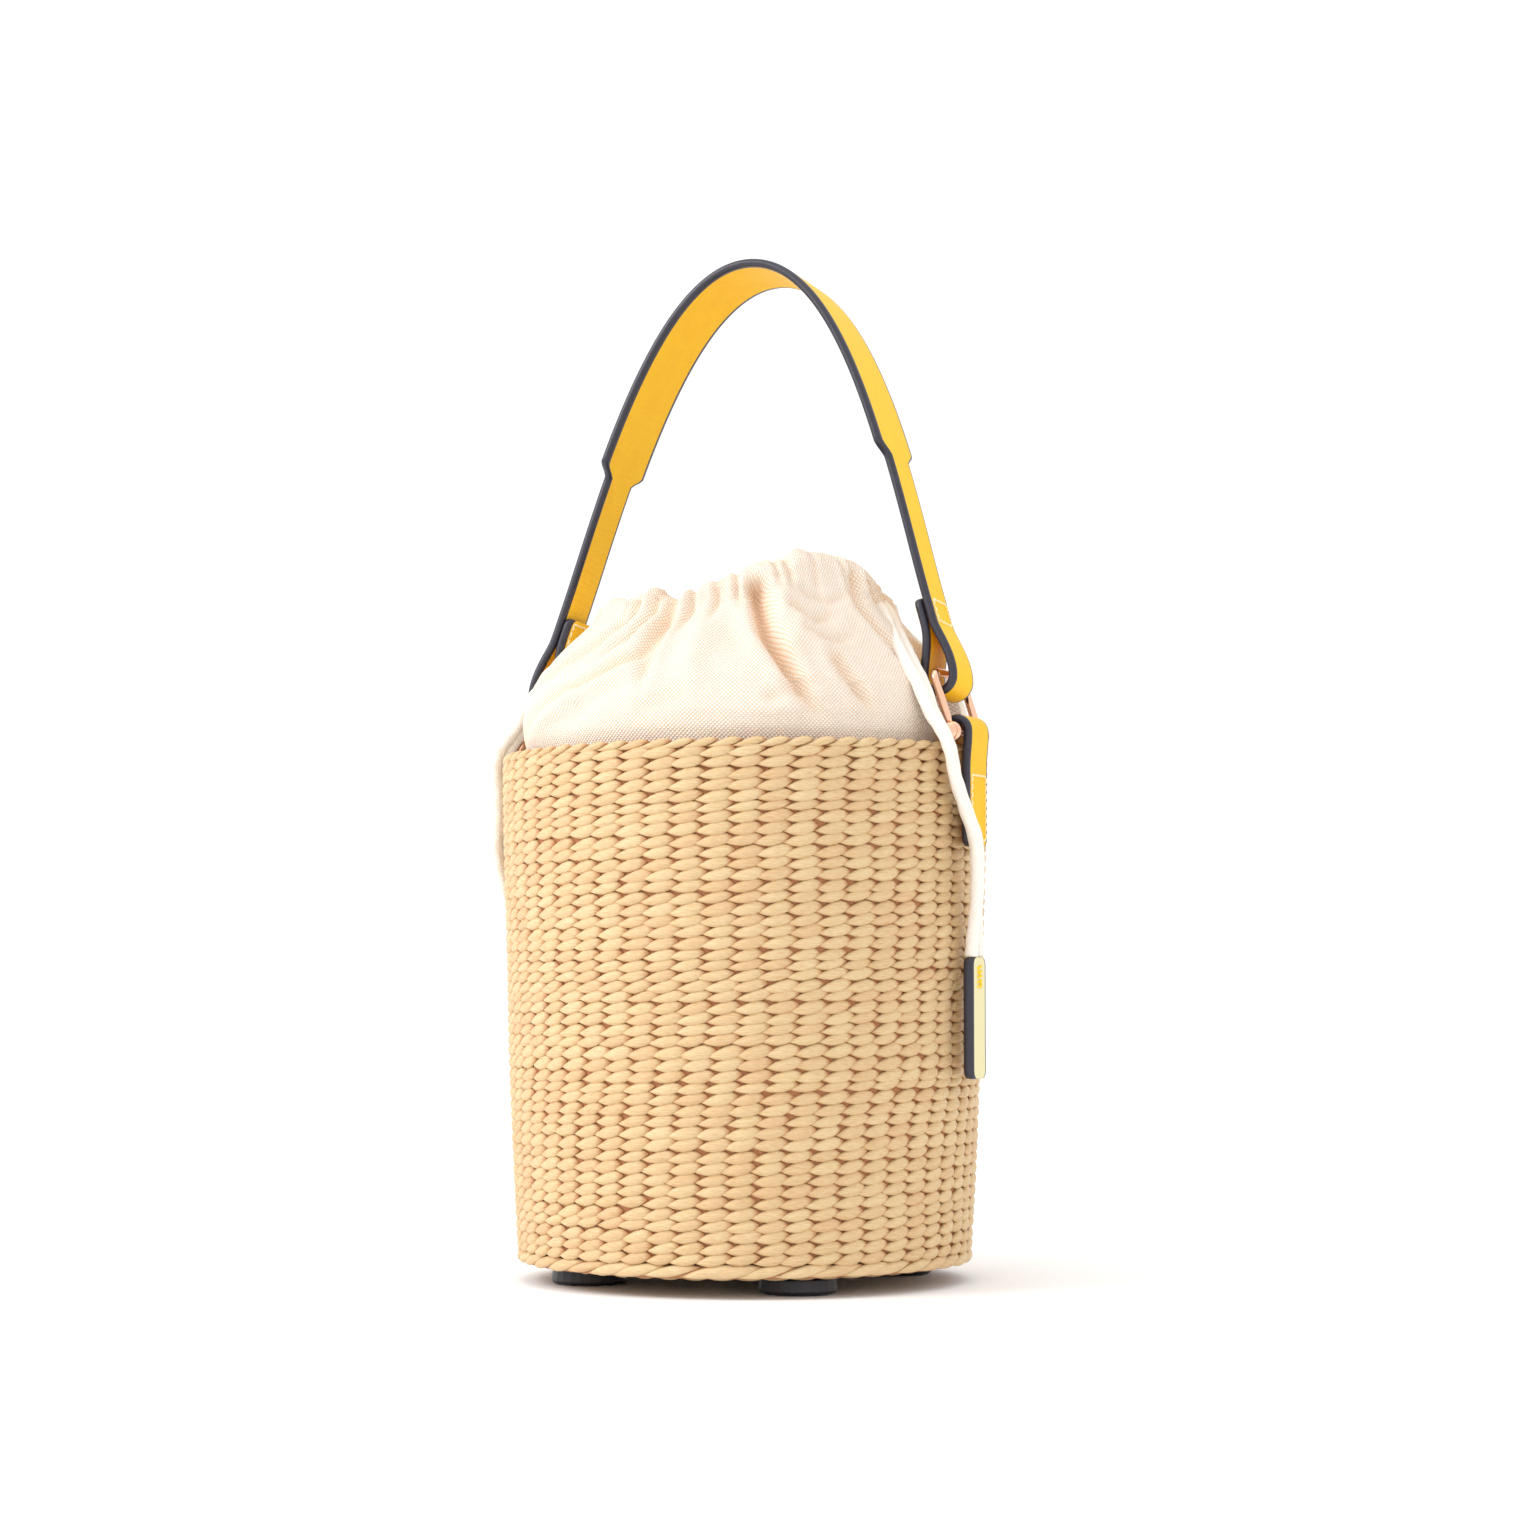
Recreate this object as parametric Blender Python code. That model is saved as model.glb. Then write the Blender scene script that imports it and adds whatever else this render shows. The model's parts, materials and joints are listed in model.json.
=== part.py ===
"""Bucket bag: a twined straw basket with a gathered canvas pouch, a leather handle hung on two
shackles, and two drawcords with leather pulls. Metres, +Z up. The origin is on the floor below
the basket's axis, X runs along the handle's span, and the cords leave the pouch at +X and -X."""
from math import cos, pi, radians, sin

import bmesh
import bpy
from mathutils import Matrix, Vector
from mathutils.geometry import interpolate_bezier

# Driving dimensions
GAP = 0.0003               # clearance that keeps touching pieces apart
SIDES = 48                 # sides of a turned piece

FOOT_HEIGHT = 0.005
FOOT_RADIUS = 0.014
FOOT_CIRCLE = 0.059        # distance of each foot from the basket's axis
RIVET_SHANK = 0.0019

RIM_Z = 0.1924             # top edge of the basket
WALL = 0.0046              # thickness of the twined wall
WALL_OUTSIDE = [(0.0833, 0.0126), (0.0848, 0.037), (0.0861, 0.066), (0.0870, 0.088),
                (0.0877, 0.118), (0.0885, 0.140), (0.0893, 0.168), (0.0897, RIM_Z)]
BORDER_RADIUS = 0.0796     # middle of the twisted bottom border
BORDER_HALF = 0.00365
BASE_THICK = 0.0042
BOARD_THICK = 0.0022

CANVAS = 0.0012
LINING_OUTSIDE = [(0.0740, 0.0146), (0.0768, 0.0155), (0.0775, 0.0185), (0.0787, 0.080),
                  (0.0797, 0.140), (0.0801, 0.1865)]
COLLAR_OUTSIDE = [(0.0801, 0.1868), (0.0802, 0.197), (0.0794, 0.203), (0.0765, 0.2085),
                  (0.0733, 0.2130), (0.0708, 0.2185), (0.0668, 0.226), (0.0613, 0.2330), (0.0553, 0.2388),
                  (0.0495, 0.2410)]
CASING_RADIUS = 0.0490     # middle of the hem that holds the drawcords
CASING_Z = 0.2480
CASING_WALL = 0.0009

CORD = 0.0047              # drawcord diameter
CORD_APART = 0.0052        # middle to middle of a pair of strands
LOOP_RAISE = 0.0026        # one loop lies above the other in the casing

LEATHER = 0.0014           # one layer of a strap
STRAP = 2 * LEATHER + GAP
HANDLE_WIDE = 0.0305
HANDLE_NARROW = 0.0180
SHOULDER_Z = 0.3020        # where the handle steps from wide to narrow
PIVOT_Z = 0.2190           # shackle bars, which the handle swings on
HANDLE_LEAN = radians(5.5)
LOOP_X = 0.0814            # middle of the handle's end loop
LOOP_Z = 0.2170
LOOP_RADIUS = 0.0057

TAB_WIDTH = 0.0185
TAB_OUTER_X = 0.09185      # middle of the tab's leg outside the wall
TAB_INNER_X = 0.08205      # middle of its leg inside the wall
TAB_LOOP_X = 0.0885
TAB_LOOP_Z = 0.1980
TAB_LOOP_RADIUS = 0.0042
TAB_BOTTOM_Z = 0.1565

WIRE = 0.0030              # shackle wire diameter
PIN = 0.0032
PIN_X = 0.0886
PIN_Z = 0.1972
SHACKLE_HALF = 0.0130      # from the bag's middle plane to the middle of a shackle's side wire

PULL_RADIUS = 0.0930       # distance of the hanging pull from the basket's axis
PULL_TURN = radians(-2)
PULL_PIVOT_Z = 0.1175
PULL_TOP_Z = 0.1150
PULL_LENGTH = 0.0410
PULL_WIDTH = 0.0135
PULL_LAYER = 0.00175

# Right-hand drawcord, from the casing over the pouch, across the rim and down past the tab:
# distance from the axis, turn in degrees from +X, height, and how far the front strand lies over the
# back one, in degrees. The left one is its mirror.
CORD_ROUTE = [(0.0518, 0.0, 0.2454, 0), (0.0548, -0.8, 0.2454, 0), (0.0597, -3.5, 0.2412, 0),
              (0.0640, -6.5, 0.2353, 0), (0.0700, -9.8, 0.2280, 0), (0.0757, -12.1, 0.2212, 4),
              (0.0815, -13.5, 0.2140, 12), (0.0872, -14.2, 0.2035, 22), (0.0926, -14.3, 0.1960, 30),
              (0.0948, -13.5, 0.1890, 34), (0.0948, -11.8, 0.1800, 35), (0.0960, -9.4, 0.1700, 35),
              (0.0980, -7.2, 0.1590, 35), (0.0972, -5.6, 0.1480, 34), (0.0950, -3.6, 0.1350, 28),
              (0.0933, -2.2, 0.1240, 8), (PULL_RADIUS, -2.0, PULL_PIVOT_Z, 0)]


# Making shapes
def material(name, colour, roughness, metallic=0.0):
    """A plain finish: linear colour, roughness and metallic value."""
    made = bpy.data.materials.new(name)
    made.use_nodes = True
    shader = made.node_tree.nodes["Principled BSDF"]
    shader.inputs["Base Color"].default_value = (*colour, 1.0)
    shader.inputs["Roughness"].default_value = roughness
    shader.inputs["Metallic"].default_value = metallic
    return made


def link(name, mesh, finish, smooth=True):
    """Put a mesh in the scene as an object of that name, with its finish."""
    piece = bpy.data.objects.new(name, mesh)
    bpy.context.scene.collection.objects.link(piece)
    mesh.materials.clear()
    mesh.materials.append(finish)
    if smooth:
        mesh.shade_smooth()
        mesh.set_sharp_from_angle(angle=radians(35))
    return piece


def turned(name, outline, sides=SIDES):
    """Mesh of a closed outline of (radius, height) points, spun about Z."""
    bm = bmesh.new()
    corners = [bm.verts.new((radius, 0, z)) for radius, z in outline]
    edges = [bm.edges.new((a, b)) for a, b in zip(corners, corners[1:] + corners[:1])]
    bmesh.ops.spin(bm, geom=corners + edges, cent=(0, 0, 0), axis=(0, 0, 1), angle=2 * pi,
                   steps=sides, use_merge=True)
    bmesh.ops.remove_doubles(bm, verts=bm.verts, dist=1e-6)
    bmesh.ops.dissolve_degenerate(bm, edges=bm.edges, dist=1e-6)
    bmesh.ops.recalc_face_normals(bm, faces=bm.faces)
    mesh = bpy.data.meshes.new(name)
    bm.to_mesh(mesh)
    bm.free()
    return mesh


def inset(profile, thickness):
    """The profile moved inward by the wall's thickness, square to its own run."""
    moved = []
    last = len(profile) - 1
    for i in range(len(profile)):
        before, after = Vector(profile[max(i - 1, 0)]), Vector(profile[min(i + 1, last)])
        along = (after - before).normalized()
        moved.append((profile[i][0] - along.y * thickness, profile[i][1] + along.x * thickness))
    return moved


def disc_outline(radius, low, high):
    return [(0, low), (radius, low), (radius, high), (0, high)]


def round_outline(radius, z, half, sides=10):
    """A circle of the given half-width about (radius, z)."""
    turns = [2 * pi * (i + 0.5) / sides for i in range(sides)]
    return [(radius + half * cos(turn), z + half * sin(turn)) for turn in turns]


def rod(name, radius, start, end, sides=24):
    """Mesh of a straight round bar between two points."""
    start, end = Vector(start), Vector(end)
    bm = bmesh.new()
    placed = Matrix.Translation((start + end) / 2) @ (end - start).to_track_quat("Z", "Y").to_matrix().to_4x4()
    bmesh.ops.create_cone(bm, cap_ends=True, segments=sides, radius1=radius, radius2=radius,
                          depth=(end - start).length, matrix=placed)
    mesh = bpy.data.meshes.new(name)
    bm.to_mesh(mesh)
    bm.free()
    return mesh


def guide(name, mesh):
    """A cutter or a joined part: it shapes another piece and is no piece itself."""
    tool = bpy.data.objects.new(name, mesh)
    bpy.context.scene.collection.objects.link(tool)
    tool.hide_render = True
    tool.display_type = "WIRE"
    return tool


def shaped(piece, tools, operation):
    """Cut the tools from a piece, or join them to it."""
    for tool in tools:
        step = piece.modifiers.new(tool.name, "BOOLEAN")
        step.operation = operation
        step.solver = "EXACT"
        step.object = tool


def strap(name, path, width, low, high):
    """Mesh of a strap that follows a path of (x, z) points and is square to the XZ plane. Its
    width is a function of a point; low and high are its faces, left of the path's run."""
    bm = bmesh.new()
    rows = []
    last = len(path) - 1
    for i, point in enumerate(path):
        along = (path[min(i + 1, last)] - path[max(i - 1, 0)]).normalized()
        left = Vector((-along.y, along.x))
        inner, outer = point + left * low, point + left * high
        half = width(point) / 2
        rows.append([bm.verts.new((inner.x, -half, inner.y)), bm.verts.new((inner.x, half, inner.y)),
                     bm.verts.new((outer.x, half, outer.y)), bm.verts.new((outer.x, -half, outer.y))])
    for row, following in zip(rows, rows[1:]):
        for i in range(4):
            bm.faces.new((row[i], row[(i + 1) % 4], following[(i + 1) % 4], following[i]))
    bm.faces.new(rows[0])
    bm.faces.new(rows[-1])
    bmesh.ops.recalc_face_normals(bm, faces=bm.faces)
    mesh = bpy.data.meshes.new(name)
    bm.to_mesh(mesh)
    bm.free()
    return mesh


def bezier(start, lead_out, lead_in, end, count):
    """Points of one Bezier stretch, without its first."""
    points = interpolate_bezier(*(Vector((*p, 0)) for p in (start, lead_out, lead_in, end)), count + 1)
    return [Vector((p.x, p.y)) for p in points[1:]]


def arc(middle, radius, first, last, count):
    """Points of a round stretch between two angles in degrees, without its first."""
    turns = [radians(first + (last - first) * i / count) for i in range(1, count + 1)]
    return [Vector((middle[0] + radius * cos(turn), middle[1] + radius * sin(turn))) for turn in turns]


def smooth_route(points, count):
    """Evenly many points on a Catmull-Rom curve through the route's points."""
    ends = [points[0] * 2 - points[1]] + points + [points[-1] * 2 - points[-2]]
    made = []
    for i in range(count):
        whole = (len(points) - 1) * i / (count - 1)
        k = min(int(whole), len(points) - 2)
        t = whole - k
        a, b, c, d = ends[k:k + 4]
        made.append(0.5 * (2 * b + (c - a) * t + (2 * a - 5 * b + 4 * c - d) * t ** 2
                           + (3 * b - a - 3 * c + d) * t ** 3))
    return made


def cord(name, points, diameter, finish, resolution=2):
    """A round cord or wire along the points, as a curve with filled ends."""
    shape = bpy.data.curves.new(name, "CURVE")
    shape.dimensions = "3D"
    shape.bevel_depth = diameter / 2
    shape.bevel_resolution = resolution
    shape.use_fill_caps = True
    run = shape.splines.new("POLY")
    run.points.add(len(points) - 1)
    for spot, point in zip(run.points, points):
        spot.co = (*point, 1)
    shape.materials.append(finish)
    piece = bpy.data.objects.new(name, shape)
    bpy.context.scene.collection.objects.link(piece)
    return piece


def wire(name, points, diameter):
    """Mesh of a round bent wire with flat ends."""
    bent = cord(name + "_bend", points, diameter, ROSE_GOLD, resolution=4)
    mesh = bpy.data.meshes.new_from_object(bent)
    bpy.data.objects.remove(bent, do_unlink=True)
    bm = bmesh.new()
    bm.from_mesh(mesh)
    bmesh.ops.remove_doubles(bm, verts=bm.verts, dist=1e-6)
    bmesh.ops.recalc_face_normals(bm, faces=bm.faces)
    bm.to_mesh(mesh)
    bm.free()
    return mesh


def around(radius, turn, z):
    """The point at that distance and turn from +X, at that height."""
    return Vector((radius * cos(turn), radius * sin(turn), z))


for old in list(bpy.data.objects):
    bpy.data.objects.remove(old, do_unlink=True)

STRAW = material("straw", (0.76, 0.60, 0.33), 0.7)
BOARD = material("fibreboard", (0.45, 0.36, 0.25), 0.8)
COTTON = material("canvas", (0.90, 0.83, 0.72), 0.85)
COTTON_CORD = material("cotton_cord", (0.90, 0.86, 0.80), 0.8)
YELLOW_LEATHER = material("yellow_leather", (0.95, 0.55, 0.02), 0.45)
ROSE_GOLD = material("rose_gold", (0.58, 0.27, 0.15), 0.25, 1.0)
BLACK_PLASTIC = material("black_plastic", (0.03, 0.025, 0.03), 0.4)
STEEL = material("steel", (0.55, 0.55, 0.56), 0.35, 1.0)

# Basket: side wall, twisted bottom border, base, and the board that stiffens it
wall_outline = WALL_OUTSIDE + list(reversed(inset(WALL_OUTSIDE, WALL)))
link("basket_wall", turned("basket_wall", wall_outline), STRAW)
border_z = FOOT_HEIGHT + BORDER_HALF
link("base_border", turned("base_border", round_outline(BORDER_RADIUS, border_z, BORDER_HALF)), STRAW)

base_low = FOOT_HEIGHT + GAP
base_high = base_low + BASE_THICK
base_radius = BORDER_RADIUS - BORDER_HALF - GAP
board_low = base_high + GAP
board_high = board_low + BOARD_THICK
base = link("basket_base", turned("basket_base", disc_outline(base_radius, base_low, base_high)), STRAW)
board = link("base_board", turned("base_board", disc_outline(base_radius, board_low, board_high)), BOARD)

# Four feet, each with a rivet through the base and the board, and a washer inside
foot_outline = [(RIVET_SHANK + GAP, 0.0022), (0.0042, 0.0022), (0.0042, 0), (FOOT_RADIUS - 0.0012, 0),
                (FOOT_RADIUS, 0.0012), (FOOT_RADIUS - 0.0006, FOOT_HEIGHT), (RIVET_SHANK + GAP, FOOT_HEIGHT)]
foot_mesh = turned("foot", foot_outline, 24)
washer_low = board_high + GAP
washer_mesh = turned("washer", [(RIVET_SHANK + GAP, washer_low), (0.006, washer_low),
                                (0.006, washer_low + 0.0006), (RIVET_SHANK + GAP, washer_low + 0.0006)], 16)
peen_low = washer_low + 0.0006 + GAP
rivet_mesh = turned("rivet", [(0, 0.0006), (0.0034, 0.0006), (0.0038, 0.0010), (0.0038, 0.0022 - GAP),
                              (RIVET_SHANK, 0.0022 - GAP), (RIVET_SHANK, peen_low), (0.0032, peen_low),
                              (0.0030, peen_low + 0.0005), (0, peen_low + 0.0007)], 16)
rivet_holes = []
for place, turn in (("right_back", 45), ("left_back", 135), ("left_front", 225), ("right_front", 315)):
    spot = around(FOOT_CIRCLE, radians(turn), 0)
    for name, mesh, finish in (("foot_", foot_mesh, BLACK_PLASTIC), ("foot_rivet_", rivet_mesh, STEEL),
                               ("foot_washer_", washer_mesh, STEEL)):
        link(name + place, mesh, finish).location = spot
    low, high = Vector((0, 0, FOOT_HEIGHT - 0.002)), Vector((0, 0, board_high + 0.002))
    hole = rod("rivet_hole_" + place, RIVET_SHANK + GAP, spot + low, spot + high)
    rivet_holes.append(guide("rivet_hole_" + place, hole))
shaped(base, rivet_holes, "DIFFERENCE")
shaped(board, rivet_holes, "DIFFERENCE")

# Canvas pouch: lining inside the basket, gathered collar above it, and the casing at its top
lining_floor = LINING_OUTSIDE[0][1]
lining_inside = list(reversed(inset(LINING_OUTSIDE[1:], CANVAS)))
lining_outline = [(0, lining_floor)] + LINING_OUTSIDE + lining_inside[:-1]
lining_outline += [(0.0740, lining_floor + CANVAS), (0, lining_floor + CANVAS)]
link("pouch_lining", turned("pouch_lining", lining_outline), COTTON)
collar_outline = COLLAR_OUTSIDE + list(reversed(inset(COLLAR_OUTSIDE, CANVAS)))
link("pouch_collar", turned("pouch_collar", collar_outline), COTTON)

channel_half = CORD / 2 + GAP
channel_tall = LOOP_RAISE + CORD / 2 + GAP
outer_half, outer_tall = channel_half + CASING_WALL, channel_tall + CASING_WALL
casing = link("pouch_casing", turned("pouch_casing", [
    (CASING_RADIUS - outer_half, CASING_Z - outer_tall), (CASING_RADIUS + outer_half, CASING_Z - outer_tall),
    (CASING_RADIUS + outer_half, CASING_Z + outer_tall), (CASING_RADIUS - outer_half, CASING_Z + outer_tall)]),
    COTTON)
channel = turned("cord_channel", [
    (CASING_RADIUS - channel_half, CASING_Z - channel_tall), (CASING_RADIUS + channel_half, CASING_Z - channel_tall),
    (CASING_RADIUS + channel_half, CASING_Z + channel_tall), (CASING_RADIUS - channel_half, CASING_Z + channel_tall)])
casing_cuts = [guide("cord_channel", channel)]

# Drawcords: a loop in the casing for each side, and its two strands out to the pull
for side, mirrored in (("right", 1), ("left", -1)):
    raise_by = -LOOP_RAISE * mirrored
    loop = turned("drawcord_loop_" + side, round_outline(CASING_RADIUS, CASING_Z + raise_by, CORD / 2, 8))
    link("drawcord_loop_" + side, loop, COTTON_CORD)

    hole = bpy.data.meshes.new("cord_hole_" + side)
    bm = bmesh.new()
    size = Matrix.Diagonal((0.0040, CORD_APART + CORD + 3 * GAP, CORD + 2 * GAP, 1))
    reach = (CASING_RADIUS + outer_half) * mirrored
    bmesh.ops.create_cube(bm, size=1, matrix=Matrix.Translation((reach, 0, CASING_Z + raise_by)) @ size)
    bm.to_mesh(hole)
    bm.free()
    casing_cuts.append(guide("cord_hole_" + side, hole))

    lift = Vector((0, 0, 0 if mirrored == 1 else 2 * LOOP_RAISE))
    route = [around(radius, radians(turn), z) for radius, turn, z, _ in CORD_ROUTE]
    route[0] += lift
    route[1] += lift
    route[2] += lift * 0.3
    for strand, across in (("front", -0.5), ("back", 0.5)):
        points = [p + around(CORD_APART * across, radians(turn + 90 + over), 0)
                  for p, (_, turn, _, over) in zip(route, CORD_ROUTE)]
        points = [Vector((p.x * mirrored, p.y, p.z)) for p in smooth_route(points, 30)]
        cord(f"drawcord_{side}_{strand}", points, CORD, COTTON_CORD)
shaped(casing, casing_cuts, "DIFFERENCE")

# Leather pulls: two layers that hold the strands' ends, hanging from the top edge
for side, turn in (("right", PULL_TURN), ("left", pi - PULL_TURN)):
    hinge = bpy.data.objects.new("pull_hinge_" + side, None)
    bpy.context.scene.collection.objects.link(hinge)
    hinge.location = around(PULL_RADIUS, turn, PULL_PIVOT_Z)
    hinge.rotation_euler = (0, 0, turn)
    for layer, near, far in (("front", GAP / 2, GAP / 2 + PULL_LAYER), ("back", -GAP / 2 - PULL_LAYER, -GAP / 2)):
        top = PULL_TOP_Z - PULL_PIVOT_Z
        run = [Vector((0, top)), Vector((0, top - PULL_LENGTH))]
        pull = link(f"pull_{side}_{layer}", strap("pull", run, lambda point: PULL_WIDTH, near, far),
                    YELLOW_LEATHER, smooth=False)
        pull.parent = hinge

# Tabs: a strap over the rim at each side, with one leg sewn outside the wall and one inside
tab_path = [Vector((TAB_OUTER_X, TAB_BOTTOM_Z)), Vector((TAB_OUTER_X, 0.184))]
tab_path += bezier((TAB_OUTER_X, 0.184), (TAB_OUTER_X, 0.190), (TAB_LOOP_X + TAB_LOOP_RADIUS, 0.192),
                   (TAB_LOOP_X + TAB_LOOP_RADIUS, TAB_LOOP_Z), 5)
tab_path += arc((TAB_LOOP_X, TAB_LOOP_Z), TAB_LOOP_RADIUS, 0, 165, 11)
tab_path += bezier(tab_path[-1], tab_path[-1] - Vector((0.0010, 0.0040)), (TAB_INNER_X, 0.194),
                   (TAB_INNER_X, 0.188), 5)
tab_path += [Vector((TAB_INNER_X, TAB_BOTTOM_Z))]
for side, mirrored in (("right", 1), ("left", -1)):
    for layer, low, high in (("inner", -STRAP / 2, -GAP / 2), ("outer", GAP / 2, STRAP / 2)):
        mesh = strap("tab", tab_path, lambda point: TAB_WIDTH, -high, -low)
        piece = link(f"tab_{side}_{layer}", mesh, YELLOW_LEATHER)
        if mirrored == -1:
            mesh.transform(Matrix.Rotation(pi, 4, "Z"))

# Shackles: a U of wire with an eye at each end, and a pin through the eyes and the tab's loop
for side, mirrored in (("right", 1), ("left", -1)):
    foot_of_wire = Vector((PIN_X, 0, PIN_Z))
    head_of_wire = Vector((LOOP_X, 0, PIVOT_Z))
    corner = 0.0036
    upward = (head_of_wire - foot_of_wire).normalized()
    across = Vector((0, 1, 0))
    bend = head_of_wire - upward * corner
    wire_run = [foot_of_wire - across * SHACKLE_HALF + upward * 0.0028]
    wire_run += [bend + upward * corner * sin(t) - across * (SHACKLE_HALF - corner + corner * cos(t))
                 for t in (0, pi / 8, pi / 4, 3 * pi / 8, pi / 2)]
    wire_run += [Vector((p.x, -p.y, p.z)) for p in reversed(wire_run)]
    wire_run = [Vector((p.x * mirrored, p.y, p.z)) for p in wire_run]
    eyes = []
    for end, sign in (("near", -1), ("far", 1)):
        middle = Vector((PIN_X * mirrored, SHACKLE_HALF * sign, PIN_Z))
        width = across * 0.0015
        eyes.append(guide(f"eye_{side}_{end}", rod("eye", 0.0037, middle - width, middle + width, 20)))
    bore = guide(f"eye_bore_{side}", rod("eye_bore", PIN / 2 + 0.0001, (PIN_X * mirrored, -0.02, PIN_Z),
                                         (PIN_X * mirrored, 0.02, PIN_Z), 24))
    shackle = link("shackle_" + side, wire("shackle_" + side, wire_run, WIRE), ROSE_GOLD)
    shaped(shackle, eyes, "UNION")
    shaped(shackle, [bore], "DIFFERENCE")

    head_low = SHACKLE_HALF + 0.0015 + GAP
    pin_outline = [(0, -head_low - 0.0024), (0.0020, -head_low - 0.0021), (0.0031, -head_low - 0.0012),
                   (0.0031, -head_low), (PIN / 2, -head_low), (PIN / 2, head_low + 0.0010),
                   (PIN / 2 - 0.0005, head_low + 0.0015), (0, head_low + 0.0015)]
    pin_mesh = turned("shackle_pin", pin_outline, 24)
    pin_mesh.transform(Matrix.Rotation(-pi / 2, 4, "X"))
    link("shackle_pin_" + side, pin_mesh, ROSE_GOLD).location = (PIN_X * mirrored, 0, PIN_Z)

# Handle: one strap of two layers, whose ends loop round the shackle bars and fold back inside
waist = Vector((0.0742, 0.2502))
seam_low = Vector((0.0786, 0.2368))
seam_run = (seam_low - waist).normalized()
inward = Vector((seam_run.y, -seam_run.x))
leg_apart = STRAP + GAP
arch_top = Vector((0, 0.37705))
half_path = [arch_top]
half_path += bezier(arch_top, (0.0400, arch_top.y), waist - seam_run * 0.0400, waist, 34)
half_path += [seam_low]
half_path += bezier(seam_low, seam_low + seam_run * 0.0025, (LOOP_X + LOOP_RADIUS, LOOP_Z + 0.0075),
                    (LOOP_X + LOOP_RADIUS, LOOP_Z), 6)
half_path += arc((LOOP_X, LOOP_Z), LOOP_RADIUS, 0, -180, 12)
fold_low, fold_high = seam_low + inward * leg_apart, waist + inward * leg_apart + seam_run * 0.0035
half_path += bezier((LOOP_X - LOOP_RADIUS, LOOP_Z), (LOOP_X - LOOP_RADIUS, LOOP_Z + 0.0060),
                    fold_low + seam_run * 0.0060, fold_low, 6)
half_path += [fold_high]
handle_path = [Vector((-p.x, p.y)) for p in reversed(half_path[1:])] + half_path

handle_hinge = bpy.data.objects.new("handle_hinge", None)
bpy.context.scene.collection.objects.link(handle_hinge)
handle_hinge.location = (0, 0, PIVOT_Z)
handle_hinge.rotation_euler = (-HANDLE_LEAN, 0, 0)
swing_path = [p - Vector((0, PIVOT_Z)) for p in handle_path]


def handle_width(point):
    """Wide over the arch, narrow below the shoulders, with a short rounded step."""
    rise = (point.y + PIVOT_Z - SHOULDER_Z) / 0.005 + 0.5
    step = min(max(rise, 0), 1)
    return HANDLE_NARROW + (HANDLE_WIDE - HANDLE_NARROW) * step * step * (3 - 2 * step)


for name, low, high in (("handle_lining", -STRAP / 2, -GAP / 2), ("handle_strap", GAP / 2, STRAP / 2)):
    link(name, strap(name, swing_path, handle_width, low, high), YELLOW_LEATHER).parent = handle_hinge
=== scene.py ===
"""The looks of a small straw bucket bag: camera and light, drawcords, twined basket, canvas pouch,
leather handle, tabs and pulls, shackles and feet. Metres, +Z up, the handle's span along X."""
import json
import math
import random

import bmesh
import bpy
import numpy as np
from mathutils import Matrix, Vector
from mathutils.geometry import interpolate_bezier

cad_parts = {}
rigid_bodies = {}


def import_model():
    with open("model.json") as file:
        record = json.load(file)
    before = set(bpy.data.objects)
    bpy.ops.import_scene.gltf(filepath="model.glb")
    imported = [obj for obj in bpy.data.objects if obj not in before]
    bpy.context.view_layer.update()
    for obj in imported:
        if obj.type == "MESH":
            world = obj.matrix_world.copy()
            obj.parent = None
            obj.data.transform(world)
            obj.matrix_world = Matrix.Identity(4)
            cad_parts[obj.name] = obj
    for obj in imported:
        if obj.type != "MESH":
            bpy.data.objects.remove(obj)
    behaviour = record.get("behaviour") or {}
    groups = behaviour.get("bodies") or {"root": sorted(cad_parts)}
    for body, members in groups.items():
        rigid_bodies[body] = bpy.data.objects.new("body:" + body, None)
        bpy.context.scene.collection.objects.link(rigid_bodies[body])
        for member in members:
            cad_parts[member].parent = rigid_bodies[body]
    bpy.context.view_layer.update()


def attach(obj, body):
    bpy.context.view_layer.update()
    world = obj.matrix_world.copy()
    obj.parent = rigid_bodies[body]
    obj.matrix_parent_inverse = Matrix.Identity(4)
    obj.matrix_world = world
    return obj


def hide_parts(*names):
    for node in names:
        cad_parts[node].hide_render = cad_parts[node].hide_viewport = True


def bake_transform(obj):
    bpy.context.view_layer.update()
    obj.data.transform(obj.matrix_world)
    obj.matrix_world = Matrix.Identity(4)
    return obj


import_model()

# Camera and studio: the bag stands on a white sweep, seen from 11 cm above it and slightly upwards,
# turned towards its right-hand tab. A large soft key from the left, a weak lamp overhead, a white room.
CAMERA_TURN = math.radians(26.6)
CAMERA_AWAY = 1.185
CAMERA_HEIGHT = 0.109
CAMERA_PITCH = math.radians(3.79)
CAMERA_YAW = math.radians(0.41)
LAMPS_AIM = Vector((0, 0, 0.15))


def aim(obj, target):
    """Turn a lamp towards a point."""
    obj.rotation_euler = (target - obj.location).to_track_quat("-Z", "Y").to_euler()


def shown_from(azimuth, elevation, distance):
    """A place that far from the bag's middle; azimuth 0 is in front."""
    a = math.radians(azimuth)
    e = math.radians(elevation)
    away = Vector((math.sin(a) * math.cos(e), -math.cos(a) * math.cos(e), math.sin(e)))
    return LAMPS_AIM + away * distance


def linear(colour):
    """An sRGB hex colour as linear RGBA."""
    parts = [int(colour[i:i + 2], 16) / 255 for i in (1, 3, 5)]
    return (*[c / 12.92 if c <= 0.04045 else ((c + 0.055) / 1.055) ** 2.4 for c in parts], 1.0)


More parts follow.
